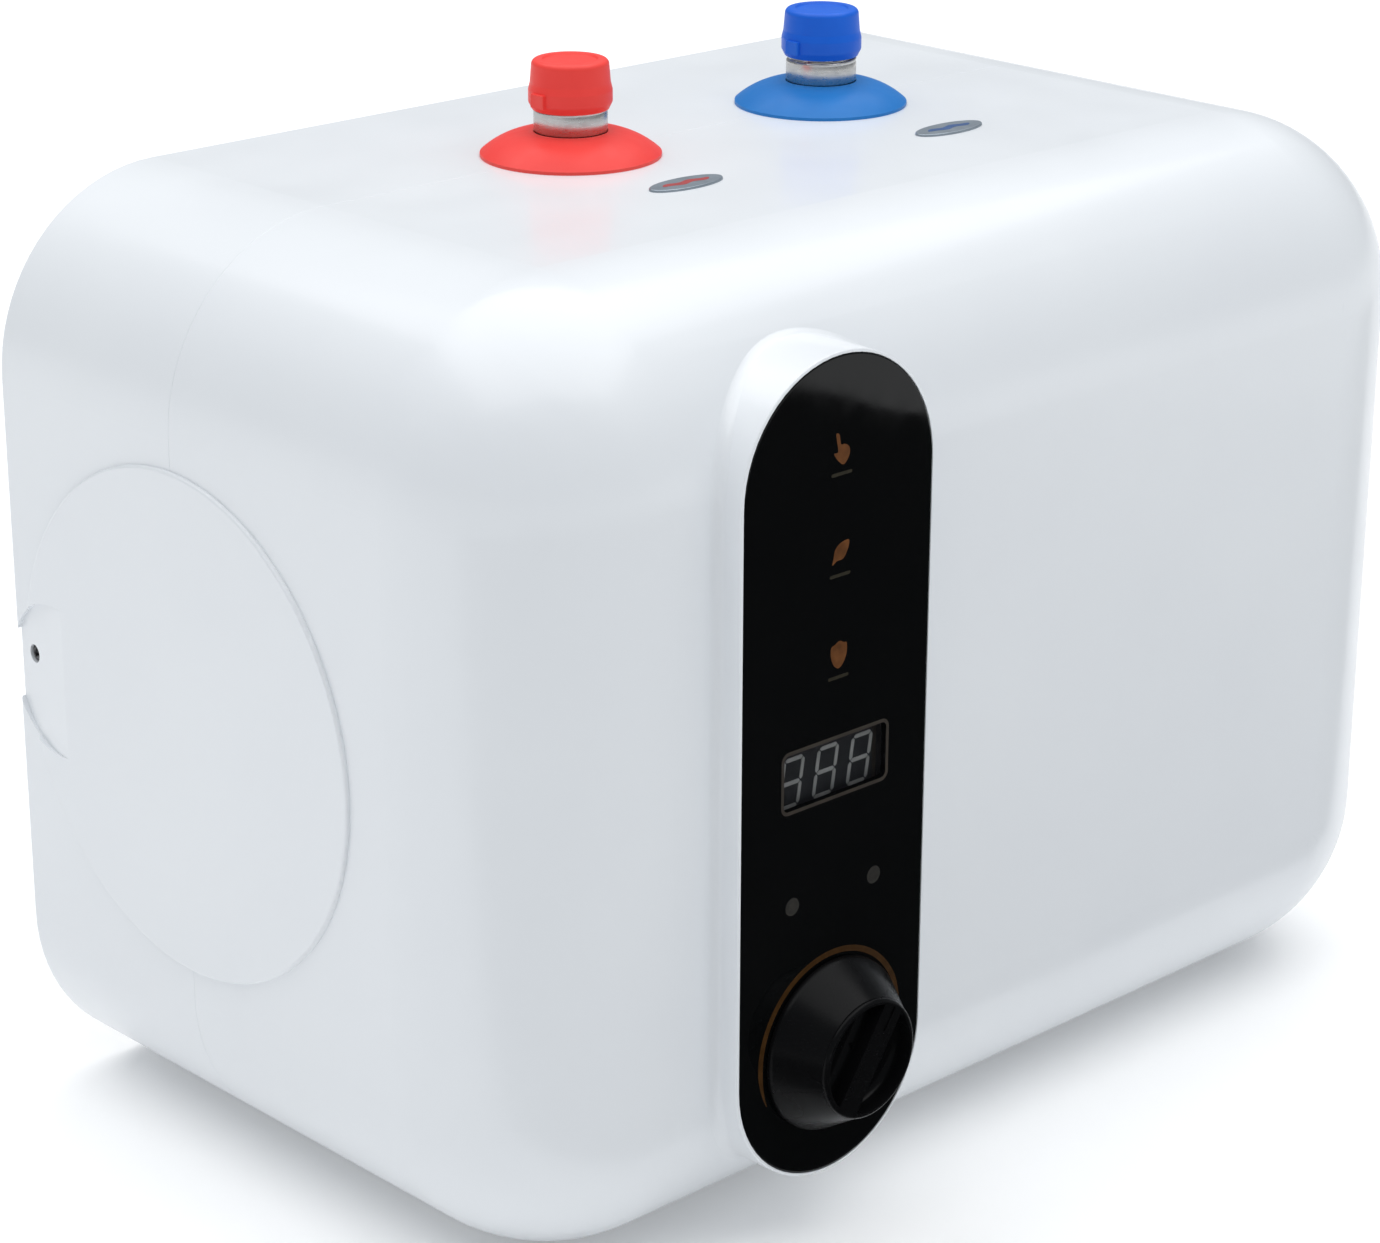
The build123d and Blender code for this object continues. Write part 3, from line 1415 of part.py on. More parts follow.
with BuildPart() as rear_foam:
    add(block_between(
        (-side_x + foam_inset, seam_y + foam_gap / 2, foam_inset),
        (side_x - foam_inset, plate_in_y - rest_depth - margin, casing_height - foam_inset),
    ))
    fillet(rear_foam.edges().filter_by(Axis.Y), corner_radius - foam_inset)
    for cut in foam_cuts():
        add(cut, mode=Mode.SUBTRACT)
    for bracket_x in bracket_xs:
        add(
            block_between(
                (
                    bracket_x - bracket_width / 2 - margin,
                    tank_back - saddle_room,
                    tank_z - bracket_height / 2 - margin,
                ),
                (bracket_x + bracket_width / 2 + margin, back_y, tank_z + bracket_height / 2 + margin),
            ),
            mode=Mode.SUBTRACT,
        )
        add(
            block_between(
                (
                    bracket_x - bracket_width / 2 - bracket_flange - margin,
                    bracket_room_y,
                    tank_z - bracket_height / 2 - margin,
                ),
                (
                    bracket_x + bracket_width / 2 + bracket_flange + margin,
                    back_y,
                    tank_z + bracket_height / 2 + margin,
                ),
            ),
            mode=Mode.SUBTRACT,
        )
    # room for the wall hooks behind the slots
    for slot_x in (-slot_pitch / 2, slot_pitch / 2):
        add(
            block_between(
                (slot_x - slot_length, plate_in_y - hook_room, slot_z - 2 * slot_width),
                (slot_x + slot_length, back_y, slot_z + 2 * slot_width),
            ),
            mode=Mode.SUBTRACT,
        )
    # room for the plate's tabs, the cord entry and the earth stud
    for side in (-1, 1):
        pad_face = side * (side_x - wall)
        pad_clear = side * (side_x - wall - pad_thickness - pad_room)
        add(
            block_between(
                (min(pad_face, pad_clear), pad_y[0] - pad_side_room, pad_z[0] - pad_side_room),
                (max(pad_face, pad_clear), back_y, pad_z[1] + pad_side_room),
            ),
            mode=Mode.SUBTRACT,
        )
    add(
        block_between(
            (earth_x - cord_room[0], tank_y, entry_z - cord_room[1]),
            (side_x, back_y, terminal_z + cord_room[1]),
        ),
        mode=Mode.SUBTRACT,
    )

rear_foam.part.label = "rear_foam"
export_step(rear_foam.part, "parts/rear_foam.step")
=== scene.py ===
import json
import math

import bmesh
import bpy
from mathutils import Euler, Matrix, Vector
from mathutils.geometry import tessellate_polygon


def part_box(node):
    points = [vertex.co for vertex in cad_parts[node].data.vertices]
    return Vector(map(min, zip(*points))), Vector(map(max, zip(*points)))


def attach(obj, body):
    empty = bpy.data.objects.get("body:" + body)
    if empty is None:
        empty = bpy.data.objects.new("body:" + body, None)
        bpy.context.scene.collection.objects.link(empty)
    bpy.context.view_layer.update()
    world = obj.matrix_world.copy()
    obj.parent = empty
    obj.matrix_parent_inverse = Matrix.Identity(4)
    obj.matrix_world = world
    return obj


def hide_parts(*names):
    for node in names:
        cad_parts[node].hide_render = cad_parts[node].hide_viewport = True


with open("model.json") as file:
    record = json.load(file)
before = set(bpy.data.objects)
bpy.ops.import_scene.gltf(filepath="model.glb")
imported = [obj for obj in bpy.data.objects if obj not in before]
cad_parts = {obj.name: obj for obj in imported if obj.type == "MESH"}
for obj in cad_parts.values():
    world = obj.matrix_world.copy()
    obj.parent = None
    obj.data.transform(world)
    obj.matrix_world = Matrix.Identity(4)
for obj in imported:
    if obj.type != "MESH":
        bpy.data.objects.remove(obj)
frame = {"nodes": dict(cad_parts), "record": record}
bpy.context.view_layer.update()

# Small wall-hung tank water heater. Metres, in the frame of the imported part: +Z up, controls on -Y,
# wall on +Y, origin in the middle of the casing's underside.
MM = 0.001

# ---------------------------------------------------------------- measures read from the frame
glass_low, glass_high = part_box("control_glass")
panel_x = (glass_low.x + glass_high.x) / 2
panel_z = (glass_low.z + glass_high.z) / 2
face_y = glass_low.y
glass_back_y = glass_high.y
half_width = (glass_high.x - glass_low.x) / 2
half_length = (glass_high.z - glass_low.z) / 2
knob_low, knob_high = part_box("knob")
knob_z = (knob_low.z + knob_high.z) / 2
knob_radius = (knob_high.x - knob_low.x) / 2
casing_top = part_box("front_shell")[1].z


def solid_boxes(node):
    """Lowest and highest corner of each separate solid in a CAD node, in order of place."""
    bm = bmesh.new()
    bm.from_mesh(frame["nodes"][node].data)
    bmesh.ops.remove_doubles(bm, verts=bm.verts, dist=0.001 * MM)
    seen, boxes = set(), []
    for start in bm.verts:
        if start in seen:
            continue
        seen.add(start)
        island = [start]
        for vert in island:
            for edge in vert.link_edges:
                other = edge.other_vert(vert)
                if other not in seen:
                    seen.add(other)
                    island.append(other)
        low = Vector([min(v.co[i] for v in island) for i in range(3)])
        high = Vector([max(v.co[i] for v in island) for i in range(3)])
        boxes.append((low, high))
    bm.free()
    return sorted(boxes, key=lambda b: [round(c, 5) for c in (*b[0], *b[1])])


# ---------------------------------------------------------------- materials
def texture(nodes, links, kind, scale, stretch=(1, 1, 1), **inputs):
    """A procedural texture in the part's frame; a stretch below 1 draws it out along that axis."""
    place = nodes.new("ShaderNodeTexCoord")
    mapping = nodes.new("ShaderNodeMapping")
    mapping.inputs["Scale"].default_value = stretch
    links.new(place.outputs["Object"], mapping.inputs["Vector"])
    node = nodes.new(kind)
    node.inputs["Scale"].default_value = scale
    for name, value in inputs.items():
        node.inputs[name].default_value = value
    links.new(mapping.outputs["Vector"], node.inputs["Vector"])
    return node


def spread(nodes, links, source, low, high, start=0.3, end=0.7):
    """source, from start to end, mapped on to low to high."""
    node = nodes.new("ShaderNodeMapRange")
    links.new(source, node.inputs["Value"])
    for name, value in (("From Min", start), ("From Max", end), ("To Min", low), ("To Max", high)):
        node.inputs[name].default_value = value
    return node.outputs["Result"]


def mixed(nodes, links, factor, first, second):
    """Colour between first and second, each a colour or a socket."""
    node = nodes.new("ShaderNodeMix")
    node.data_type = "RGBA"
    links.new(factor, node.inputs["Factor"])
    for name, value in (("A", first), ("B", second)):
        socket = next(s for s in node.inputs if s.name == name and s.type == "RGBA")
        if isinstance(value, bpy.types.NodeSocket):
            links.new(value, socket)
        else:
            socket.default_value = (*value, 1)
    return next(s for s in node.outputs if s.type == "RGBA")


wear_share = 0.6                # how far a rubbed edge goes to its worn colour
wear_range = (0.53, 0.62)       # pointiness at which wear starts and is full
fleck_edge = 0.8                # softness of a fleck's edge, 1 for hard
gloss_finer = 3.1               # gloss varies in patches this much finer than colour
track_edge = (0.52, 0.6)        # distance over which a board's track fades out


def surface(
    name, colour, shade, rough, rough_spread=0.06, patch=30, grain=900, depth=0.01,
    stretch=(1, 1, 1), worn=None, spots=None, **sockets,
):
    """Principled material whose colour drifts towards shade, with uneven gloss and a raised grain.

    rough is the middle roughness, patch and grain are the sizes of the drift and of the grain as
    repeats per metre, and depth is the grain's height in mm. worn is the colour of rubbed edges,
    and spots is (colour, repeats per metre, share) for small flecks.
    """
    mat = bpy.data.materials.new(name)
    mat.use_nodes = True
    nodes, links = mat.node_tree.nodes, mat.node_tree.links
    shader = nodes["Principled BSDF"]
    drift = texture(nodes, links, "ShaderNodeTexNoise", patch, Detail=4.0)
    fine = texture(nodes, links, "ShaderNodeTexNoise", grain, stretch, Detail=3.0, Roughness=0.6)
    out = mixed(nodes, links, spread(nodes, links, drift.outputs["Fac"], 0, 1), colour, shade)
    if spots:
        fleck, repeats, share = spots
        dots = texture(nodes, links, "ShaderNodeTexNoise", repeats, Detail=1.0)
        mask = spread(nodes, links, dots.outputs["Fac"], 0, 1, 1 - share, 1 - share * fleck_edge)
        out = mixed(nodes, links, mask, out, fleck)
    if worn:
        shape = nodes.new("ShaderNodeNewGeometry")
        edge = spread(nodes, links, shape.outputs["Pointiness"], 0, wear_share, *wear_range)
        out = mixed(nodes, links, edge, out, worn)
    links.new(out, shader.inputs["Base Color"])
    gloss = texture(nodes, links, "ShaderNodeTexNoise", patch * gloss_finer, stretch, Detail=5.0)
    uneven = spread(nodes, links, gloss.outputs["Fac"], rough - rough_spread, rough + rough_spread)
    links.new(uneven, shader.inputs["Roughness"])
    bump = nodes.new("ShaderNodeBump")
    bump.inputs["Distance"].default_value = depth * MM
    bump.inputs["Strength"].default_value = 1.0
    links.new(fine.outputs["Fac"], bump.inputs["Height"])
    links.new(bump.outputs["Normal"], shader.inputs["Normal"])
    for socket, value in sockets.items():
        shader.inputs[socket.replace("_", " ")].default_value = value
    return mat


def spangled(name, colour, shade, rough, cell):
    """Hot-dip galvanised sheet: crystals of zinc, each a little lighter or darker than the next."""
    mat = surface(name, colour, shade, rough, grain=1400, depth=0.004, Metallic=1.0)
    nodes, links = mat.node_tree.nodes, mat.node_tree.links
    shader = nodes["Principled BSDF"]
    crystals = texture(nodes, links, "ShaderNodeTexVoronoi", cell, Randomness=1.0)
    level = nodes.new("ShaderNodeSeparateColor")
    links.new(crystals.outputs["Color"], level.inputs["Color"])
    tone = spread(nodes, links, level.outputs["Red"], 0, 1, 0, 1)
    links.new(mixed(nodes, links, tone, colour, shade), shader.inputs["Base Color"])
    gloss = spread(nodes, links, level.outputs["Green"], rough - 0.1, rough + 0.12, 0, 1)
    links.new(gloss, shader.inputs["Roughness"])
    return mat


def circuit(name, mask, copper):
    """Solder-masked board with buried tracks that run square to its edges."""
    darker = tuple(c * 0.8 for c in mask)
    mat = surface(name, mask, darker, 0.32, grain=1500, depth=0.004, Coat_Weight=0.3)
    nodes, links = mat.node_tree.nodes, mat.node_tree.links
    shader = nodes["Principled BSDF"]
    along_z = (1.0, 1.0, 0.35)
    tracks = texture(nodes, links, "ShaderNodeTexVoronoi", 260, along_z, Randomness=0.35)
    tracks.distance = "MANHATTAN"
    tracks.feature = "F2"
    line = spread(nodes, links, tracks.outputs["Distance"], 1, 0, *track_edge)
    plain = shader.inputs["Base Color"].links[0].from_socket
    links.new(mixed(nodes, links, line, plain, copper), shader.inputs["Base Color"])
    return mat


def moulded(name, colour, shade, worn):
    """Satin moulded plastic, a little paler where its edges are rubbed."""
    return surface(
        name, colour, shade, 0.44, 0.06, patch=60, grain=900, depth=0.01, worn=worn,
        Specular_IOR_Level=0.3,
    )


def smoked(name, colour, clear):
    """Bare glass in a window of the printed panel; clear is the share of light let through."""
    return surface(name, colour, colour, 0.06, 0.02, grain=300, depth=0.001, Alpha=1 - clear)


WHITE = (0.80, 0.825, 0.85)
finishes = {
    "shell_white": surface(
        "shell_white", WHITE, (0.775, 0.80, 0.83), 0.34, 0.05, patch=9, grain=420, depth=0.008,
        Coat_Weight=0.25, Coat_Roughness=0.12,
    ),
    "panel_glass": surface(
        "panel_glass", (0.0028, 0.003, 0.0032), (0.0022, 0.0025, 0.0027), 0.05, 0.02, grain=300,
        depth=0.001, Specular_IOR_Level=0.2,
    ),
    "knob_black": surface(
        "knob_black", (0.004, 0.0042, 0.0045), (0.003, 0.003, 0.0034), 0.27, 0.05, grain=1600,
        depth=0.006, worn=(0.010, 0.010, 0.011), Specular_IOR_Level=0.09,
    ),
    "carrier_black": surface(
        "carrier_black", (0.02, 0.02, 0.021), (0.013, 0.013, 0.014), 0.5, grain=1300, depth=0.02,
    ),
    "display_face": surface(
        "display_face", (0.03, 0.032, 0.036), (0.022, 0.023, 0.027), 0.42, grain=1200, depth=0.006,
    ),
    "lamp_clear": surface(
        "lamp_clear", (0.50, 0.50, 0.46), (0.42, 0.42, 0.38), 0.25, patch=400, grain=1200,
        depth=0.003, Coat_Weight=0.6,
    ),
    "board_green": circuit("board_green", (0.012, 0.075, 0.035), (0.05, 0.16, 0.06)),
    "tape_black": surface(
        "tape_black", (0.015, 0.015, 0.015), (0.03, 0.03, 0.03), 0.8, grain=2200, depth=0.03,
    ),
    "red_plastic": moulded(
        "red_plastic", (0.95, 0.068, 0.056), (0.90, 0.056, 0.046), (0.95, 0.12, 0.10),
    ),
    "blue_plastic": moulded(
        "blue_plastic", (0.004, 0.128, 0.70), (0.004, 0.11, 0.64), (0.012, 0.17, 0.74),
    ),
    "pipe_steel": surface(
        "pipe_steel", (0.62, 0.61, 0.59), (0.50, 0.49, 0.475), 0.30, 0.08, patch=120, grain=500,
        depth=0.006, stretch=(1, 1, 6), Metallic=1.0,
    ),
    "badge_metal": surface(
        "badge_metal", (0.33, 0.38, 0.43), (0.27, 0.315, 0.36), 0.38, 0.07, patch=200, grain=700,
        depth=0.006, stretch=(1, 9, 1), Metallic=0.6,
    ),
    "tube_white": surface(
        "tube_white", (0.74, 0.74, 0.70), (0.68, 0.68, 0.63), 0.5, grain=800, depth=0.01,
    ),
    "galvanised": spangled("galvanised", (0.58, 0.60, 0.61), (0.49, 0.51, 0.53), 0.42, 150),
    "zinc_steel": surface(
        "zinc_steel", (0.66, 0.66, 0.63), (0.55, 0.55, 0.50), 0.3, 0.1, patch=150, grain=1600,
        depth=0.005, Metallic=1.0,
    ),
    "tank_steel": surface(
        "tank_steel", (0.045, 0.055, 0.09), (0.03, 0.038, 0.065), 0.3, 0.1, patch=20, grain=260,
        depth=0.05, spots=((0.16, 0.13, 0.11), 240, 0.34), Coat_Weight=0.5,
    ),
    "element_metal": surface(
        "element_metal", (0.42, 0.25, 0.17), (0.30, 0.17, 0.115), 0.34, 0.1, patch=60, grain=700,
        depth=0.01, stretch=(0.2, 1, 1), Metallic=1.0,
    ),
    "brass": surface(
        "brass", (0.76, 0.56, 0.26), (0.64, 0.45, 0.19), 0.28, 0.08, patch=120, grain=1200,
        depth=0.005, Metallic=1.0,
    ),
    "anode_metal": surface(
        "anode_metal", (0.54, 0.54, 0.53), (0.36, 0.36, 0.35), 0.6, 0.12, patch=90, grain=420,
        depth=0.05, Metallic=0.9,
    ),
    "gasket_rubber": surface(
        "gasket_rubber", (0.03, 0.03, 0.031), (0.02, 0.02, 0.02), 0.75, grain=1500, depth=0.02,
    ),
    "cutout_body": surface(
        "cutout_body", (0.06, 0.045, 0.035), (0.04, 0.03, 0.024), 0.42, grain=900, depth=0.015,
    ),
    "part_blue": surface(
        "part_blue", (0.025, 0.10, 0.33), (0.02, 0.08, 0.27), 0.36, grain=900, depth=0.008,
    ),
    "coil_iron": surface(
        "coil_iron", (0.10, 0.085, 0.06), (0.07, 0.06, 0.045), 0.4, 0.1, patch=220, grain=1400,
        depth=0.02, stretch=(1, 0.1, 1), Metallic=0.6,
    ),
    "foam": surface(
        "foam", (0.82, 0.70, 0.42), (0.74, 0.58, 0.30), 0.9, patch=25, grain=520, depth=0.35,
        spots=((0.55, 0.40, 0.18), 500, 0.36),
    ),
}
extra = {
    "window_smoke": smoked("window_smoke", (0.010, 0.0105, 0.012), 0.80),
    "print_amber": surface(
        "print_amber", (0.15, 0.055, 0.016), (0.08, 0.03, 0.009), 0.35, patch=300, grain=2400,
        depth=0.004, Specular_IOR_Level=0.08,
    ),
    "print_ring": surface(
        "print_ring", (0.062, 0.028, 0.008), (0.04, 0.018, 0.005), 0.35, patch=300, grain=2400,
        depth=0.004, Specular_IOR_Level=0.08,
    ),
    "print_grey": surface(
        "print_grey", (0.032, 0.028, 0.018), (0.022, 0.02, 0.013), 0.4, patch=300, grain=2400,
        depth=0.004, Specular_IOR_Level=0.08,
    ),
    "segment_white": surface(
        "segment_white", (0.50, 0.51, 0.50), (0.40, 0.41, 0.40), 0.4, patch=300, grain=1500,
        depth=0.004,
    ),
    "bezel_bronze": surface(
        "bezel_bronze", (0.042, 0.033, 0.024), (0.030, 0.024, 0.018), 0.4, patch=200, grain=1500,
        depth=0.006,
    ),
    "collar_red": moulded(
        "collar_red", (0.93, 0.062, 0.052), (0.88, 0.05, 0.042), (0.95, 0.12, 0.10),
    ),
    "collar_blue": moulded(
        "collar_blue", (0.008, 0.19, 0.58), (0.007, 0.165, 0.52), (0.03, 0.25, 0.66),
    ),
    "lamp_lens": surface(
        "lamp_lens", (0.034, 0.032, 0.028), (0.024, 0.023, 0.021), 0.22, patch=500, grain=1500,
        depth=0.004,
    ),
    "dark_steel": surface(
        "dark_steel", (0.10, 0.10, 0.105), (0.06, 0.06, 0.063), 0.42, 0.1, patch=300, grain=1600,
        depth=0.006, Metallic=0.8,
    ),
    "badge_red": surface(
        "badge_red", (0.42, 0.05, 0.05), (0.33, 0.04, 0.04), 0.4, patch=300, grain=1800,
        depth=0.004,
    ),
    "badge_blue": surface(
        "badge_blue", (0.04, 0.10, 0.27), (0.03, 0.08, 0.22), 0.4, patch=300, grain=1800,
        depth=0.004,
    ),
}
slot_of = {row["node"]: row["material_slot"] for row in frame["record"]["subparts"]}
for node, slot in slot_of.items():
    frame["nodes"][node].material_slots[0].material = finishes[slot]
frame["nodes"]["hot_collar"].material_slots[0].material = extra["collar_red"]
frame["nodes"]["cold_collar"].material_slots[0].material = extra["collar_blue"]


# ---------------------------------------------------------------- making pieces
def finish_piece(name, mesh, materials, body, slot, replaces=(), sharp=35):
    """Puts a finished mesh in the scene, smooth but for edges over sharp degrees, on its body."""
    obj = bpy.data.objects.new(name, mesh)
    bpy.context.scene.collection.objects.link(obj)
    for mat in materials:
        mesh.materials.append(mat)
    mesh.shade_smooth()
    mesh.set_sharp_from_angle(angle=math.radians(sharp))
    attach(obj, body)
    if replaces:
        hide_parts(*replaces)


def mesh_of(bm, name):
    """Mesh made from a bmesh, with its normals outward."""
    bmesh.ops.recalc_face_normals(bm, faces=bm.faces)
    mesh = bpy.data.meshes.new(name)
    bm.to_mesh(mesh)
    bm.free()
    return mesh


def circle(x, z, radius, steps=48):
    """Points round a circle."""
    turns = [2 * math.pi * i / steps for i in range(steps)]
    return [(x + radius * math.cos(t), z + radius * math.sin(t)) for t in turns]


def rounded_box(x, z, width, height, radius, steps=8):
    """Points round a rectangle with rounded corners."""
    points = []
    for quarter, (sx, sz) in enumerate(((1, 1), (-1, 1), (-1, -1), (1, -1))):
        cx = x + sx * (width / 2 - radius)
        cz = z + sz * (height / 2 - radius)
        for i in range(steps + 1):
            t = math.pi / 2 * (quarter + i / steps)
            points.append((cx + radius * math.cos(t), cz + radius * math.sin(t)))
    return points


def upright_slot(x, z, half_w, half_l, inset, steps=48):
    """Points round an upright slot shape, moved inward by inset."""
    points = []
    for start, cz in ((0, z + half_l - half_w), (math.pi, z - half_l + half_w)):
        for i in range(steps + 1):
            t = start + math.pi * i / steps
            points.append((x + (half_w - inset) * math.cos(t), cz + (half_w - inset) * math.sin(t)))
    return points


def smooth_loop(points, steps=6):
    """Closed curve through given points (Catmull-Rom)."""
    count, out = len(points), []
    for i in range(count):
        a, b, c, d = (Vector(points[(i + k) % count]) for k in (-1, 0, 1, 2))
        for k in range(steps):
            t = k / steps
            point = (
                2 * b + (c - a) * t
                + (2 * a - 5 * b + 4 * c - d) * t**2
                + (3 * b - a - 3 * c + d) * t**3
            ) / 2
            out.append(tuple(point))
    return out


def ring_verts(bm, points, y):
    """Vertices at (x, z) points in the plane y."""
    return [bm.verts.new((px, y, pz)) for px, pz in points]


def skin(bm, first, second):
    """Quads between two closed rows of as many vertices."""
    for i in range(len(first)):
        j = (i + 1) % len(first)
        bm.faces.new((first[i], first[j], second[j], second[i]))


def plate_face(bm, loops):
    """Triangles over the first loop, less the others."""
    verts = [v for loop in loops for v in loop]
    flat = [[Vector((v.co.x, v.co.z, 0)) for v in loop] for loop in loops]
    for corners in tessellate_polygon(flat):
        bm.faces.new([verts[i] for i in corners])


edge_steps = 3


def flat_shape(bm, outline, y_front, y_back, round_edge=0.0, holes=()):
    """Solid between two planes with that outline, its front edge rounded, with holes through it."""
    x_mid = sum(p[0] for p in outline) / len(outline)
    z_mid = sum(p[1] for p in outline) / len(outline)
    reach = max(math.hypot(px - x_mid, pz - z_mid) for px, pz in outline)
    rows = []
    for k in range(edge_steps + 1 if round_edge else 1):
        t = math.pi / 2 * k / edge_steps
        shrink = 1 - round_edge * (1 - math.sin(t)) / reach
        points = [
            (x_mid + (px - x_mid) * shrink, z_mid + (pz - z_mid) * shrink) for px, pz in outline
        ]
        rows.append(ring_verts(bm, points, y_front + round_edge * (1 - math.cos(t))))
    rows.append(ring_verts(bm, outline, y_back))
    for first, second in zip(rows, rows[1:]):
        skin(bm, first, second)
    fronts = [ring_verts(bm, hole, y_front) for hole in holes]
    backs = [ring_verts(bm, hole, y_back) for hole in holes]
    for first, second in zip(fronts, backs):
        skin(bm, first, second)
    plate_face(bm, [rows[0], *fronts])
    plate_face(bm, [rows[-1], *backs])


crest_share, flank_share = 0.12, 0.76       # of half a thread's pitch


def turn(bm, rows, steps, pitch, place=None):
    """Surface of revolution about Z over rows of (radius, height, thread depth), open at both ends.

    A row at radius 0 closes the surface with a point. place moves the finished surface.
    """
    made, previous = [], None
    for radius, height, cut in rows:
        if radius == 0:
            ring = [bm.verts.new((0, 0, height))]
        else:
            ring = []
            for i in range(steps):
                share = i / steps
                phase = (height / pitch - share) % 1
                r = radius - cut * min(1, max(0, (abs(2 * phase - 1) - crest_share) / flank_share))
                t = 2 * math.pi * share
                ring.append(bm.verts.new((r * math.cos(t), r * math.sin(t), height)))
        made += ring
        if previous:
            wide, narrow = (ring, previous) if len(ring) >= len(previous) else (previous, ring)
            if len(narrow) > 1:
                skin(bm, previous, ring)
            else:
                for i in range(steps):
                    bm.faces.new((wide[i], wide[(i + 1) % steps], narrow[0]))
        previous = ring
    if place:
        bmesh.ops.transform(bm, matrix=place, verts=made)


def threaded(radius, low, high, pitch, depth, per_turn=8):
    """Rows of a thread that runs in over its first turn and out over its last half turn."""
    count = max(2, round((high - low) / pitch * per_turn))
    rows = []
    for i in range(count + 1):
        height = low + (high - low) * i / count
        run = min(1, (height - low) / pitch, 2 * (high - height) / pitch)
        rows.append((radius, height, depth * max(0, run)))
    return rows


# ---------------------------------------------------------------- glass panel
window_size = (37.8 * MM, 15.7 * MM)
window_rise = 2.7 * MM          # the display's window sits this much above the panel's middle
window_corner = 1.6 * MM
window_outline = rounded_box(panel_x, panel_z + window_rise, *window_size, window_corner)
glass_round = 0.45 * MM
glass_round_steps = 5
flat_band = 0.2 * MM            # flat ring inside the rounded edge, which keeps reflections true
bush_hole = 4.1 * MM
lamps = [(low + high) / 2 for low, high in solid_boxes("status_lamps")]
lamp_window = 2.5 * MM


def glass_outline(inset):
    """Points round the glass, moved inward by inset."""
    return upright_slot(panel_x, panel_z, half_width, half_length, inset)


def glass_panel():
    """Back-printed glass, black but for its clear windows, with a hole for the knob's bush."""
    bm = bmesh.new()
    edge = [ring_verts(bm, glass_outline(glass_round + flat_band), face_y)]
    for k in range(glass_round_steps + 1):
        t = math.pi / 2 * k / glass_round_steps
        points = glass_outline(glass_round * (1 - math.sin(t)))
        edge.append(ring_verts(bm, points, face_y + glass_round * (1 - math.cos(t))))
    edge.append(ring_verts(bm, glass_outline(0), glass_back_y))
    for first, second in zip(edge, edge[1:]):
        skin(bm, first, second)
    shapes = [window_outline] + [circle(lamp.x, lamp.z, lamp_window) for lamp in lamps]
    indexes = [1] + [2] * len(lamps)        # places in the list of materials below
    hole = circle(panel_x, knob_z, bush_hole)
    rims = []
    for outline, y in ((edge[0], face_y), (edge[-1], glass_back_y)):
        windows = [ring_verts(bm, shape, y) for shape in shapes]
        rims.append(ring_verts(bm, hole, y))
        plate_face(bm, [outline, rims[-1], *windows])
        for index, window in zip(indexes, windows):
            bm.faces.new(window).material_index = index
    skin(bm, *rims)
    finish_piece(
        "glass_panel", mesh_of(bm, "glass_panel"),
        [finishes["panel_glass"], extra["window_smoke"], extra["lamp_lens"]],
        "casing", "panel_glass", ["control_glass"], 40,
    )


glass_panel()

# ---------------------------------------------------------------- printing on the glass
ink = 0.03 * MM
icon_shift = 0.4 * MM           # the icons stand this far right of the glass's middle
icon_xz = [(panel_x + icon_shift, (low.z + high.z) / 2) for low, high in solid_boxes("mode_lights")]


def printed(name, outline, material, holes=()):
    """A thin raised print on the glass."""
    bm = bmesh.new()
    flat_shape(bm, outline, face_y - ink, face_y + ink, holes=holes)
    finish_piece(name, mesh_of(bm, name), [extra[material]], "casing", "panel_glass")


def shape_at(centre, points):
    """Given points in mm, moved to centre."""
    return [(centre[0] + px * MM, centre[1] + pz * MM) for px, pz in points]


drop_at, leaf_at, hand_at = sorted(icon_xz, key=lambda c: c[1])
hand = [
    (-2.3, 4.4), (-1.6, 4.7), (-1.0, 4.1), (-0.5, 1.7), (0.9, 1.5), (2.4, 0.6), (2.8, -1.0),
    (2.0, -2.8), (0.5, -3.9), (-1.1, -2.9), (-2.6, -1.2), (-2.9, -0.4), (-1.9, -0.4), (-1.5, 0.3),
]
leaf = [
    (2.9, 2.8), (2.8, 0.6), (1.1, -1.9), (-1.3, -2.2), (-2.9, -3.0), (-2.5, -1.2), (-2.0, 0.9),
    (-0.2, 2.4),
]
drop = [
    (0.2, 3.7), (1.9, 3.0), (2.9, 2.6), (2.9, -0.2), (1.7, -2.7), (0.0, -3.8), (-1.8, -2.6),
    (-2.9, 0.0), (-2.8, 2.4), (-1.5, 3.0),
]
icons = (("hand", hand_at, hand), ("leaf", leaf_at, leaf), ("drop", drop_at, drop))
for label, centre, points in icons:
    printed(f"icon_{label}", smooth_loop(shape_at(centre, points)), "print_amber")

# a short bar under each icon
bar_drop = 6.2 * MM
bar_size = (7.5 * MM, 0.9 * MM)
bar_corner = 0.4 * MM
for label, (icon_x, icon_z), _ in icons:
    bar = rounded_box(icon_x, icon_z - bar_drop, *bar_size, bar_corner, 3)
    printed(f"bar_{label}", bar, "print_grey")

# frame round the display's window
frame_width = 1.0 * MM
frame_size = [length + 2 * frame_width for length in window_size]
frame_corner = window_corner + frame_width
frame_outline = rounded_box(panel_x, panel_z + window_rise, *frame_size, frame_corner)
printed("window_frame", frame_outline, "bezel_bronze", [window_outline])

# arc over the top of the knob, from its right side round to its lower left
arc_radius = knob_radius + 1.8 * MM
arc_width = 1.7 * MM
arc_from, arc_to = math.radians(4), math.radians(205)
arc_steps = 72
arc_tip = 0.15                  # width of each tip, as a share of the arc's
arc_taper = 8                   # widths gained over the arc's whole length, from a tip inward


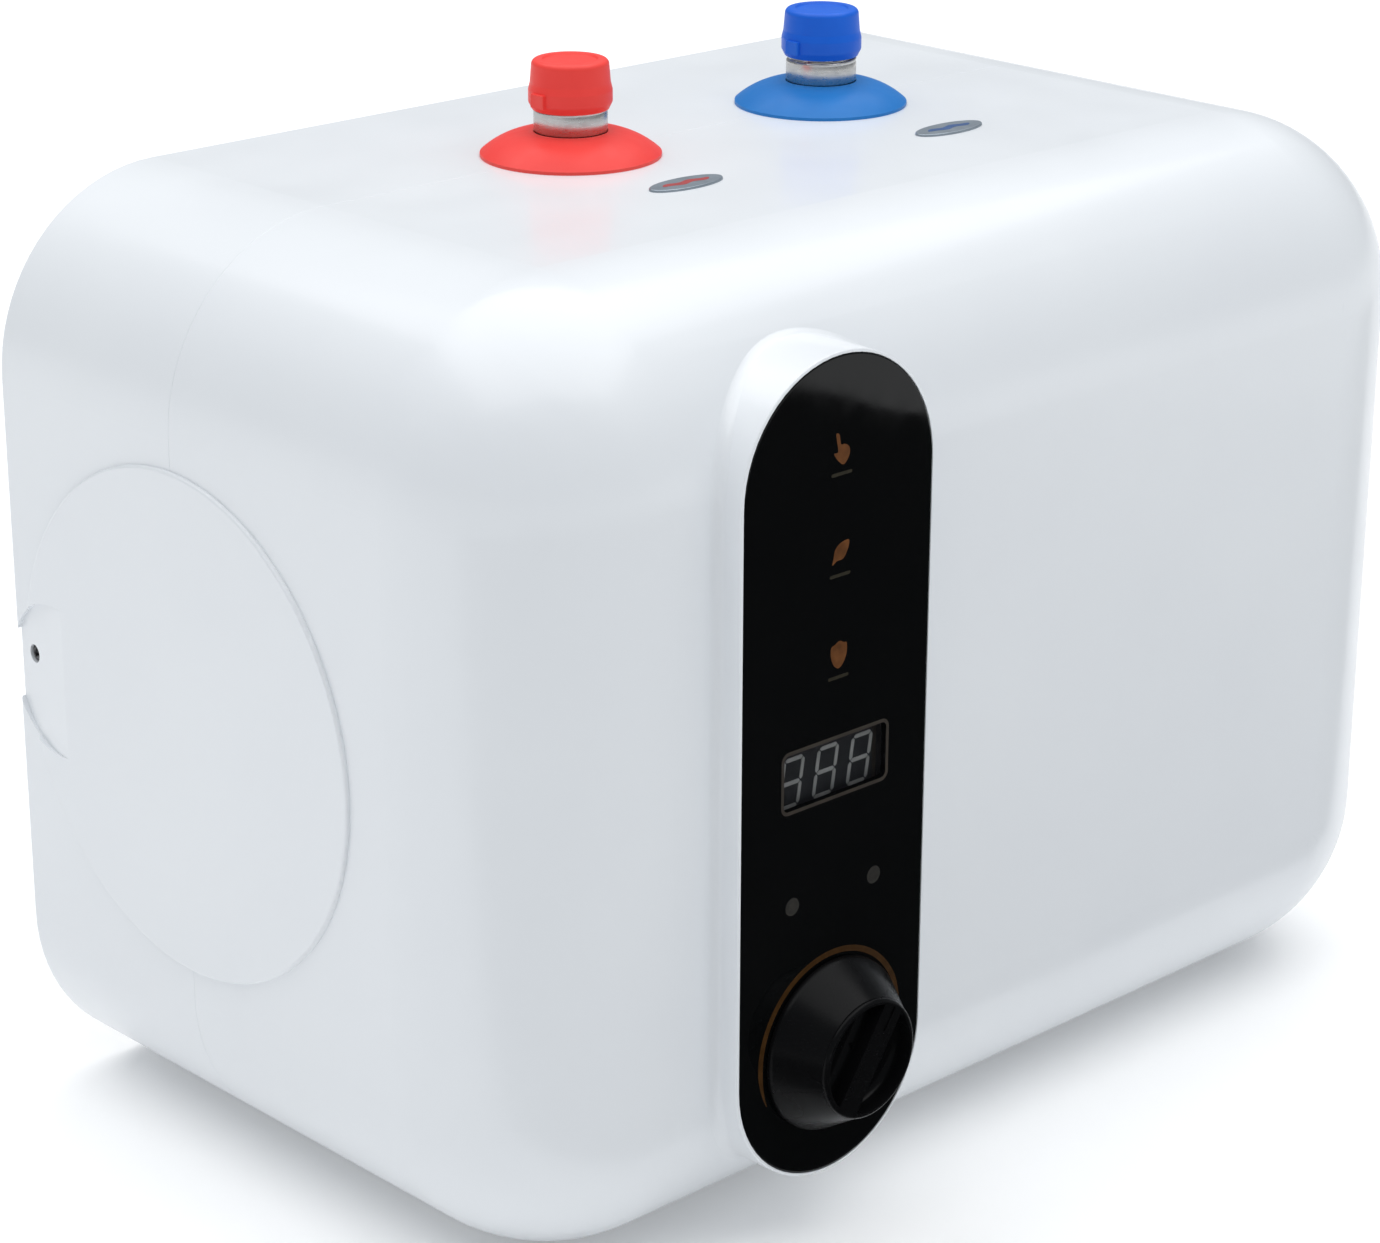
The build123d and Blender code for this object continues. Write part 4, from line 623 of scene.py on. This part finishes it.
def knob_arc():
    """Printed arc round the knob, drawn thin at both ends."""
    outer, inner = [], []
    for i in range(arc_steps + 1):
        share = i / arc_steps
        t = arc_from + (arc_to - arc_from) * share
        ends = (arc_taper * share + arc_tip, arc_taper * (1 - share) + arc_tip)
        half = arc_width / 2 * min(1, *ends)
        for row, r in ((outer, arc_radius + half), (inner, arc_radius - half)):
            row.append((panel_x + r * math.cos(t), knob_z + r * math.sin(t)))
    printed("knob_arc", outer + inner[::-1], "print_ring")


knob_arc()

# ---------------------------------------------------------------- digit display
display_low, display_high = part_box("digit_display")
digit_height = 14.2 * MM
digit_width = 8.0 * MM
digit_pitch = 12.7 * MM
stroke = 1.15 * MM
slant = math.tan(math.radians(9))
segment_gap = 0.25 * MM
face_recess = 0.25 * MM         # from the frame's front back to the case's face
case_corner = 0.6 * MM
case_round = 0.2 * MM
bezel_width = 1.3 * MM
bezel_corner = 0.8 * MM
bezel_round = 0.08 * MM
digit_depth = 0.1 * MM          # from the frame's front back to the digits' face


def segment(start, end):
    """Pointed bar between two corners of a digit, as an outline."""
    a, b = Vector(start), Vector(end)
    along = (b - a).normalized()
    across = Vector((-along.y, along.x)) * stroke / 2
    a += along * segment_gap
    b -= along * segment_gap
    tip = along * stroke / 2
    return [a, a + tip + across, b - tip + across, b, b - tip - across, a + tip - across]


def digit_segments(x, z):
    """Outlines of a slanted seven-segment digit."""
    half_w = (digit_width - stroke) / 2
    half_h = (digit_height - stroke) / 2
    corners = {
        "tl": (-half_w, half_h), "tr": (half_w, half_h), "ml": (-half_w, 0),
        "mr": (half_w, 0), "bl": (-half_w, -half_h), "br": (half_w, -half_h),
    }
    pairs = ("tl tr", "ml mr", "bl br", "bl ml", "ml tl", "br mr", "mr tr")
    outlines = [segment(*(corners[c] for c in pair.split())) for pair in pairs]
    return [[(x + p.x + p.y * slant, z + p.y) for p in outline] for outline in outlines]


def display():
    """Display block behind its window: case, frame and three digits with every segment showing."""
    x = (display_low.x + display_high.x) / 2
    z = (display_low.z + display_high.z) / 2
    width = display_high.x - display_low.x
    height = display_high.z - display_low.z
    front = display_low.y
    outside = rounded_box(x, z, width, height, case_corner)
    inside = rounded_box(x, z, width - 2 * bezel_width, height - 2 * bezel_width, bezel_corner)

    case = bmesh.new()
    flat_shape(case, outside, front + face_recess, display_high.y, case_round)
    bezel = bmesh.new()
    flat_shape(bezel, outside, front, front + face_recess, bezel_round, [inside])
    digits = bmesh.new()
    for place in (-1, 0, 1):
        for outline in digit_segments(x + place * digit_pitch, z):
            flat_shape(digits, outline, front + digit_depth, front + face_recess + digit_depth)
    for name, bm, material, replaced in (
        ("display_case", case, finishes["display_face"], ["digit_display"]),
        ("display_frame", bezel, extra["bezel_bronze"], []),
        ("display_digits", digits, extra["segment_white"], []),
    ):
        finish_piece(name, mesh_of(bm, name), [material], "casing", "display_face", replaced)


display()

# ---------------------------------------------------------------- threaded pipes
pipe_pitch = 1.814 * MM         # G 1/2, 14 threads to the inch
thread_depth = 1.1 * MM
neck_relief = 0.38 * MM         # the neck's radius is this much less than the land's
spigot_radius = 8.0 * MM
bore_radius = 7.4 * MM
shoulder_rise = 14 * MM         # from the pipe's foot up to its shoulder
shoulder_height = 2 * MM
land_rise = 7.0 * MM            # from the casing's top up to the land
land_length = 5.6 * MM
soft_edge = 0.3 * MM            # break on the land's and the bore's edges
thread_end = 0.8 * MM           # from the thread's end up to the pipe's top
top_bevel = 0.9 * MM


def turned_ring(name, node, rows, *piece):
    """A closed section turned about a node's upright axis, and put in the scene."""
    low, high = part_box(node)
    place = Matrix.Translation(((low.x + high.x) / 2, (low.y + high.y) / 2, 0))
    bm = bmesh.new()
    turn(bm, rows, 96, pipe_pitch, place)
    bmesh.ops.remove_doubles(bm, verts=bm.verts, dist=0.001 * MM)
    finish_piece(name, mesh_of(bm, name), *piece)


def threaded_pipe(name, node):
    """Pipe from its spigot in the tank, by a neck and a land over the collar, to its thread."""
    low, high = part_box(node)
    outer = (high.x - low.x) / 2
    neck = outer - neck_relief
    shoulder = low.z + shoulder_rise
    land = casing_top + land_rise
    start = land + land_length
    top = high.z
    rows = [
        (bore_radius, low.z, 0), (spigot_radius, low.z, 0), (spigot_radius, shoulder, 0),
        (neck, shoulder + shoulder_height, 0), (neck, land - soft_edge, 0),
        (outer - soft_edge, land, 0), (outer, land + soft_edge, 0), (outer, start, 0),
    ]
    rows += threaded(outer, start, top - thread_end, pipe_pitch, thread_depth)
    rows += [
        (outer - top_bevel, top, 0), (bore_radius + soft_edge, top, 0),
        (bore_radius, top - soft_edge, 0), (bore_radius, low.z, 0),
    ]
    turned_ring(name, node, rows, [finishes["pipe_steel"]], "casing", "pipe_steel", [node], 50)


threaded_pipe("hot_pipe", "hot_nipple")
threaded_pipe("cold_pipe", "cold_nipple")


# lip in the mouth of each collar
lip_overlap = 0.02 * MM         # into the pipe
lip_width = 0.55 * MM
lip_depth = 1.4 * MM
lip_proud = 0.1 * MM            # above the collar
lip_relief = 0.1 * MM           # clear of the pipe at the lip's foot
lip_contact = 0.6 * MM          # depth to which the lip bears on the pipe
lip_outer_bevel = 0.15 * MM
lip_inner_bevel = 0.2 * MM


def wiper(name, node, collar, colour):
    """Soft lip in the collar's mouth that closes the gap round the pipe."""
    low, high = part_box(node)
    inner = (high.x - low.x) / 2 - lip_overlap
    outer = inner + lip_width
    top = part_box(collar)[1].z + lip_proud
    foot = top - lip_depth
    rows = [
        (inner + lip_relief, foot, 0), (outer, foot, 0), (outer, top - lip_outer_bevel, 0),
        (outer - lip_outer_bevel, top, 0), (inner + lip_inner_bevel, top, 0),
        (inner, top - lip_inner_bevel, 0), (inner, top - lip_contact, 0),
        (inner + lip_relief, foot, 0),
    ]
    turned_ring(name, node, rows, [extra[colour]], "casing", slot_of[collar])


wiper("hot_wiper", "hot_nipple", "hot_collar", "collar_red")
wiper("cold_wiper", "cold_nipple", "cold_collar", "collar_blue")

# ---------------------------------------------------------------- badge marks
mark_length = 17 * MM
mark_width = 2.6 * MM
mark_swing = 0.5 * MM
mark_blunt = 0.02               # keeps the ends from closing to a point
mark_steps = 60
mark_section = ((-1, -ink), (-1, ink), (1, ink), (1, -ink))     # side and rise of each corner


def badge_mark(name, node, material):
    """Generic stripe in two gentle waves along an oval badge."""
    low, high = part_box(node)
    x, y, z = (low.x + high.x) / 2, (low.y + high.y) / 2, high.z
    bm = bmesh.new()
    rows = []
    for i in range(mark_steps + 1):
        share = i / mark_steps
        middle = y + mark_swing * math.sin(4 * math.pi * share)
        half = mark_width / 2 * math.sqrt(max(mark_blunt, 1 - (2 * share - 1) ** 4))
        px = x + mark_length * (share - 0.5)
        rows.append([
            bm.verts.new((px, middle + side * half, z + rise)) for side, rise in mark_section
        ])
    for first, second in zip(rows, rows[1:]):
        skin(bm, first, second)
    bm.faces.new(rows[0])
    bm.faces.new(rows[-1])
    finish_piece(name, mesh_of(bm, name), [extra[material]], "casing", "badge_metal")


badge_mark("hot_mark", "hot_badge", "badge_red")
badge_mark("cold_mark", "cold_badge", "badge_blue")


# ---------------------------------------------------------------- screws with a cross recess
head_edge = 0.1 * MM
rim_share = 0.35                # height of the head's plain rim, of the whole head
point_share = 0.35              # radius of the point, of the shank
runout_share = 0.6              # length of the point, of the shank's radius
cut_share = 0.22                # depth of the thread, of the shank's radius
plain_length = 0.4 * MM         # unthreaded part under the head
recess_depth = 0.8              # of the head's height
recess_foot = 0.45              # length of a slot at its foot, of its length at the top
recess_slot = 0.36              # width of a slot, of its length at the top
cutter_proud = 0.3 * MM
box_faces = ((0, 1, 2, 3), (4, 5, 6, 7), (0, 1, 5, 4), (1, 2, 6, 5), (2, 3, 7, 6), (3, 0, 4, 7))


def cross_cutter(head_height, recess):
    """Two crossed slots that narrow downward, as one cutting mesh."""
    cutter = bmesh.new()
    thick = recess * recess_slot
    foot = (recess * recess_foot / 2, head_height - head_height * recess_depth)
    top = (recess / 2, head_height + cutter_proud)
    for turned in (0, math.pi / 2):
        corners = []
        for half, height in (foot, top):
            for sx, sy in ((-1, -1), (1, -1), (1, 1), (-1, 1)):
                spot = Matrix.Rotation(turned, 3, "Z") @ Vector((sx * half, sy * thick / 2, height))
                corners.append(cutter.verts.new(spot))
        for face in box_faces:
            cutter.faces.new([corners[i] for i in face])
    return mesh_of(cutter, "cutter")


def cross_screw(head_radius, head_height, shank, length, pitch, recess):
    """Pan-head screw along Z: its seat at height 0, its shank below, a cross recess in its head."""
    dome = [
        (head_radius * math.cos(t), head_height * (rim_share + (1 - rim_share) * math.sin(t)), 0)
        for t in (math.pi / 2 * k / 6 for k in range(6))
    ]
    rows = [(0, -length, 0), (shank * point_share, -length, 0)]
    start = -length + shank * runout_share
    rows += threaded(shank, start, -plain_length, pitch, shank * cut_share, 6)
    rows += [(shank, 0, 0), (head_radius - head_edge, 0, 0), (head_radius, head_edge, 0)]
    rows += [*dome, (0, head_height, 0)]
    bm = bmesh.new()
    turn(bm, rows, 32, pitch)
    body = mesh_of(bm, "screw")
    tool = bpy.data.objects.new("cutter", cross_cutter(head_height, recess))
    blank = bpy.data.objects.new("blank", body)
    for obj in (tool, blank):
        bpy.context.scene.collection.objects.link(obj)
    cut = blank.modifiers.new("recess", "BOOLEAN")
    cut.operation = "DIFFERENCE"
    cut.solver = "EXACT"
    cut.use_self = True
    cut.object = tool
    bpy.context.view_layer.update()
    depsgraph = bpy.context.evaluated_depsgraph_get()
    done = bpy.data.meshes.new_from_object(blank.evaluated_get(depsgraph))
    for obj in (tool, blank):
        bpy.data.objects.remove(obj)
    done.materials.clear()
    return done


first_turn = 0.6                # radians at the casing's foot
turn_per_mm = 2.4               # radians more for each mm of height, so that screws stop unlike


def screws(name, node, axis, sizes, metal=None):
    """One screw in place of each solid of a node.

    axis is the way that the heads face, and those of side_screws face away from the middle. sizes
    are the head's radius and height, the shank's radius, the pitch and the recess's length, in mm.
    """
    head_radius, head_height, shank, pitch, recess = (size * MM for size in sizes)
    bm = bmesh.new()
    for low, high in solid_boxes(node):
        way = Vector(axis)
        if node == "side_screws" and (low.x + high.x) > 0:
            way = -way
        middle = (low + high) / 2
        reach = abs((high - low).dot(way)) / 2
        seat = middle + way * (reach - head_height)
        mesh = cross_screw(head_radius, head_height, shank, 2 * reach - head_height, pitch, recess)
        turned = Matrix.Rotation(first_turn + turn_per_mm * middle.z / MM, 4, "Z")
        place = Matrix.Translation(seat) @ way.to_track_quat("Z", "Y").to_matrix().to_4x4() @ turned
        mesh.transform(place)
        bm.from_mesh(mesh)
        bpy.data.meshes.remove(mesh)
    slot = slot_of[node]
    finish_piece(name, mesh_of(bm, name), [metal or finishes[slot]], "casing", slot, [node], 30)


to_wall = (0, 1, 0)
side_screw = (2.5, 1.4, 1.45, 1.1, 2.9)
plate_bolt = (5.0, 1.0, 2.5, 0.8, 4.6)
small_screw = (2.2, 1.5, 1.1, 0.8, 2.4)
screws("side_cross_screws", "side_screws", (-1, 0, 0), side_screw, extra["dark_steel"])
screws("plate_cross_bolts", "plate_bolts", to_wall, plate_bolt)
screws("carrier_cross_screws", "carrier_screws", to_wall, small_screw)
screws("board_cross_screws", "board_screws", to_wall, small_screw)

# ---------------------------------------------------------------- floor, light and camera
floor_reach = 9.0
floor_height = -0.2 * MM
floor_glow = 0.14
sky_colour = (0.88, 0.94, 1.0, 1)
sky_strength = 0.30
light_aim = Vector((0, 0, 0.14))
soft_boxes = (                  # name, place, side and watts
    ("top_box", (0.2, 0.3, 5.0), 8.0, 395),
    ("left_box", (-1.13, 0.85, 1.7), 1.4, 2),
    ("front_box", (0.7, -1.23, 1.7), 1.4, 3),
)
card_height = 0.2 * MM
card_edge = [
    (-0.9, -0.14), (-0.8, -0.9), (-0.2, -1.05), (0.30, -1.0), (0.40, -0.86), (0.463, -0.75),
    (0.482, -0.70), (0.489, -0.669), (0.487, -0.65), (0.489, -0.635), (0.498, -0.624),
    (0.53, -0.597), (0.62, -0.53), (0.9, -0.36), (1.2, -0.14),
]
lens_mm = 98.73
sensor_mm = 36
lens_shift = (-0.0025, 0.0265)
camera_place = (-0.7419, -0.7533, 0.5150)
camera_turn = (69.274, -0.194, -43.500)     # degrees


def staged_sheet(name, corners, height, material):
    """Flat one-sided sheet of the stage, which is no part of the object."""
    bm = bmesh.new()
    bm.faces.new([bm.verts.new((x, y, height)) for x, y in corners])
    sheet = bpy.data.objects.new(name, mesh_of(bm, name))
    bpy.context.scene.collection.objects.link(sheet)
    sheet.data.materials.append(material)
    return sheet


def studio():
    """Pale floor, soft light from all round and above, and a dark card that only gloss can see."""
    floor_white = surface(
        "floor_white", (0.94, 0.94, 0.94), (0.93, 0.93, 0.93), 0.9, patch=2, grain=60,
        Emission_Color=(0.98, 0.99, 1.0, 1), Emission_Strength=floor_glow,
    )
    square = [(x * floor_reach, y * floor_reach) for x, y in ((-1, -1), (1, -1), (1, 1), (-1, 1))]
    staged_sheet("floor", square, floor_height, floor_white)

    world = bpy.data.worlds.new("studio")
    bpy.context.scene.world = world
    world.use_nodes = True
    sky = world.node_tree.nodes["Background"]
    sky.inputs["Color"].default_value = sky_colour
    sky.inputs["Strength"].default_value = sky_strength

    for name, place, size, watts in soft_boxes:
        lamp = bpy.data.lights.new(name, "AREA")
        lamp.shape = "SQUARE"
        lamp.size = size
        lamp.energy = watts
        obj = bpy.data.objects.new(name, lamp)
        obj.location = place
        obj.rotation_euler = (light_aim - Vector(place)).to_track_quat("-Z", "Y").to_euler()
        bpy.context.scene.collection.objects.link(obj)

    card_black = surface("card_black", (0.004, 0.004, 0.004), (0.006, 0.006, 0.006), 0.95)
    card = staged_sheet("dark_card", card_edge, card_height, card_black)
    for kind in ("camera", "diffuse", "shadow", "transmission", "volume_scatter"):
        setattr(card, f"visible_{kind}", False)


def camera():
    """Long lens at the height and angle that the object is seen from."""
    data = bpy.data.cameras.new("camera")
    data.sensor_width = sensor_mm
    data.lens = lens_mm
    data.shift_x, data.shift_y = lens_shift
    data.clip_start = 0.05
    obj = bpy.data.objects.new("camera", data)
    obj.location = camera_place
    obj.rotation_euler = Euler([math.radians(a) for a in camera_turn])
    bpy.context.scene.collection.objects.link(obj)
    bpy.context.scene.camera = obj
    bpy.context.scene.view_settings.view_transform = "Standard"


studio()
camera()

bpy.context.view_layer.update()
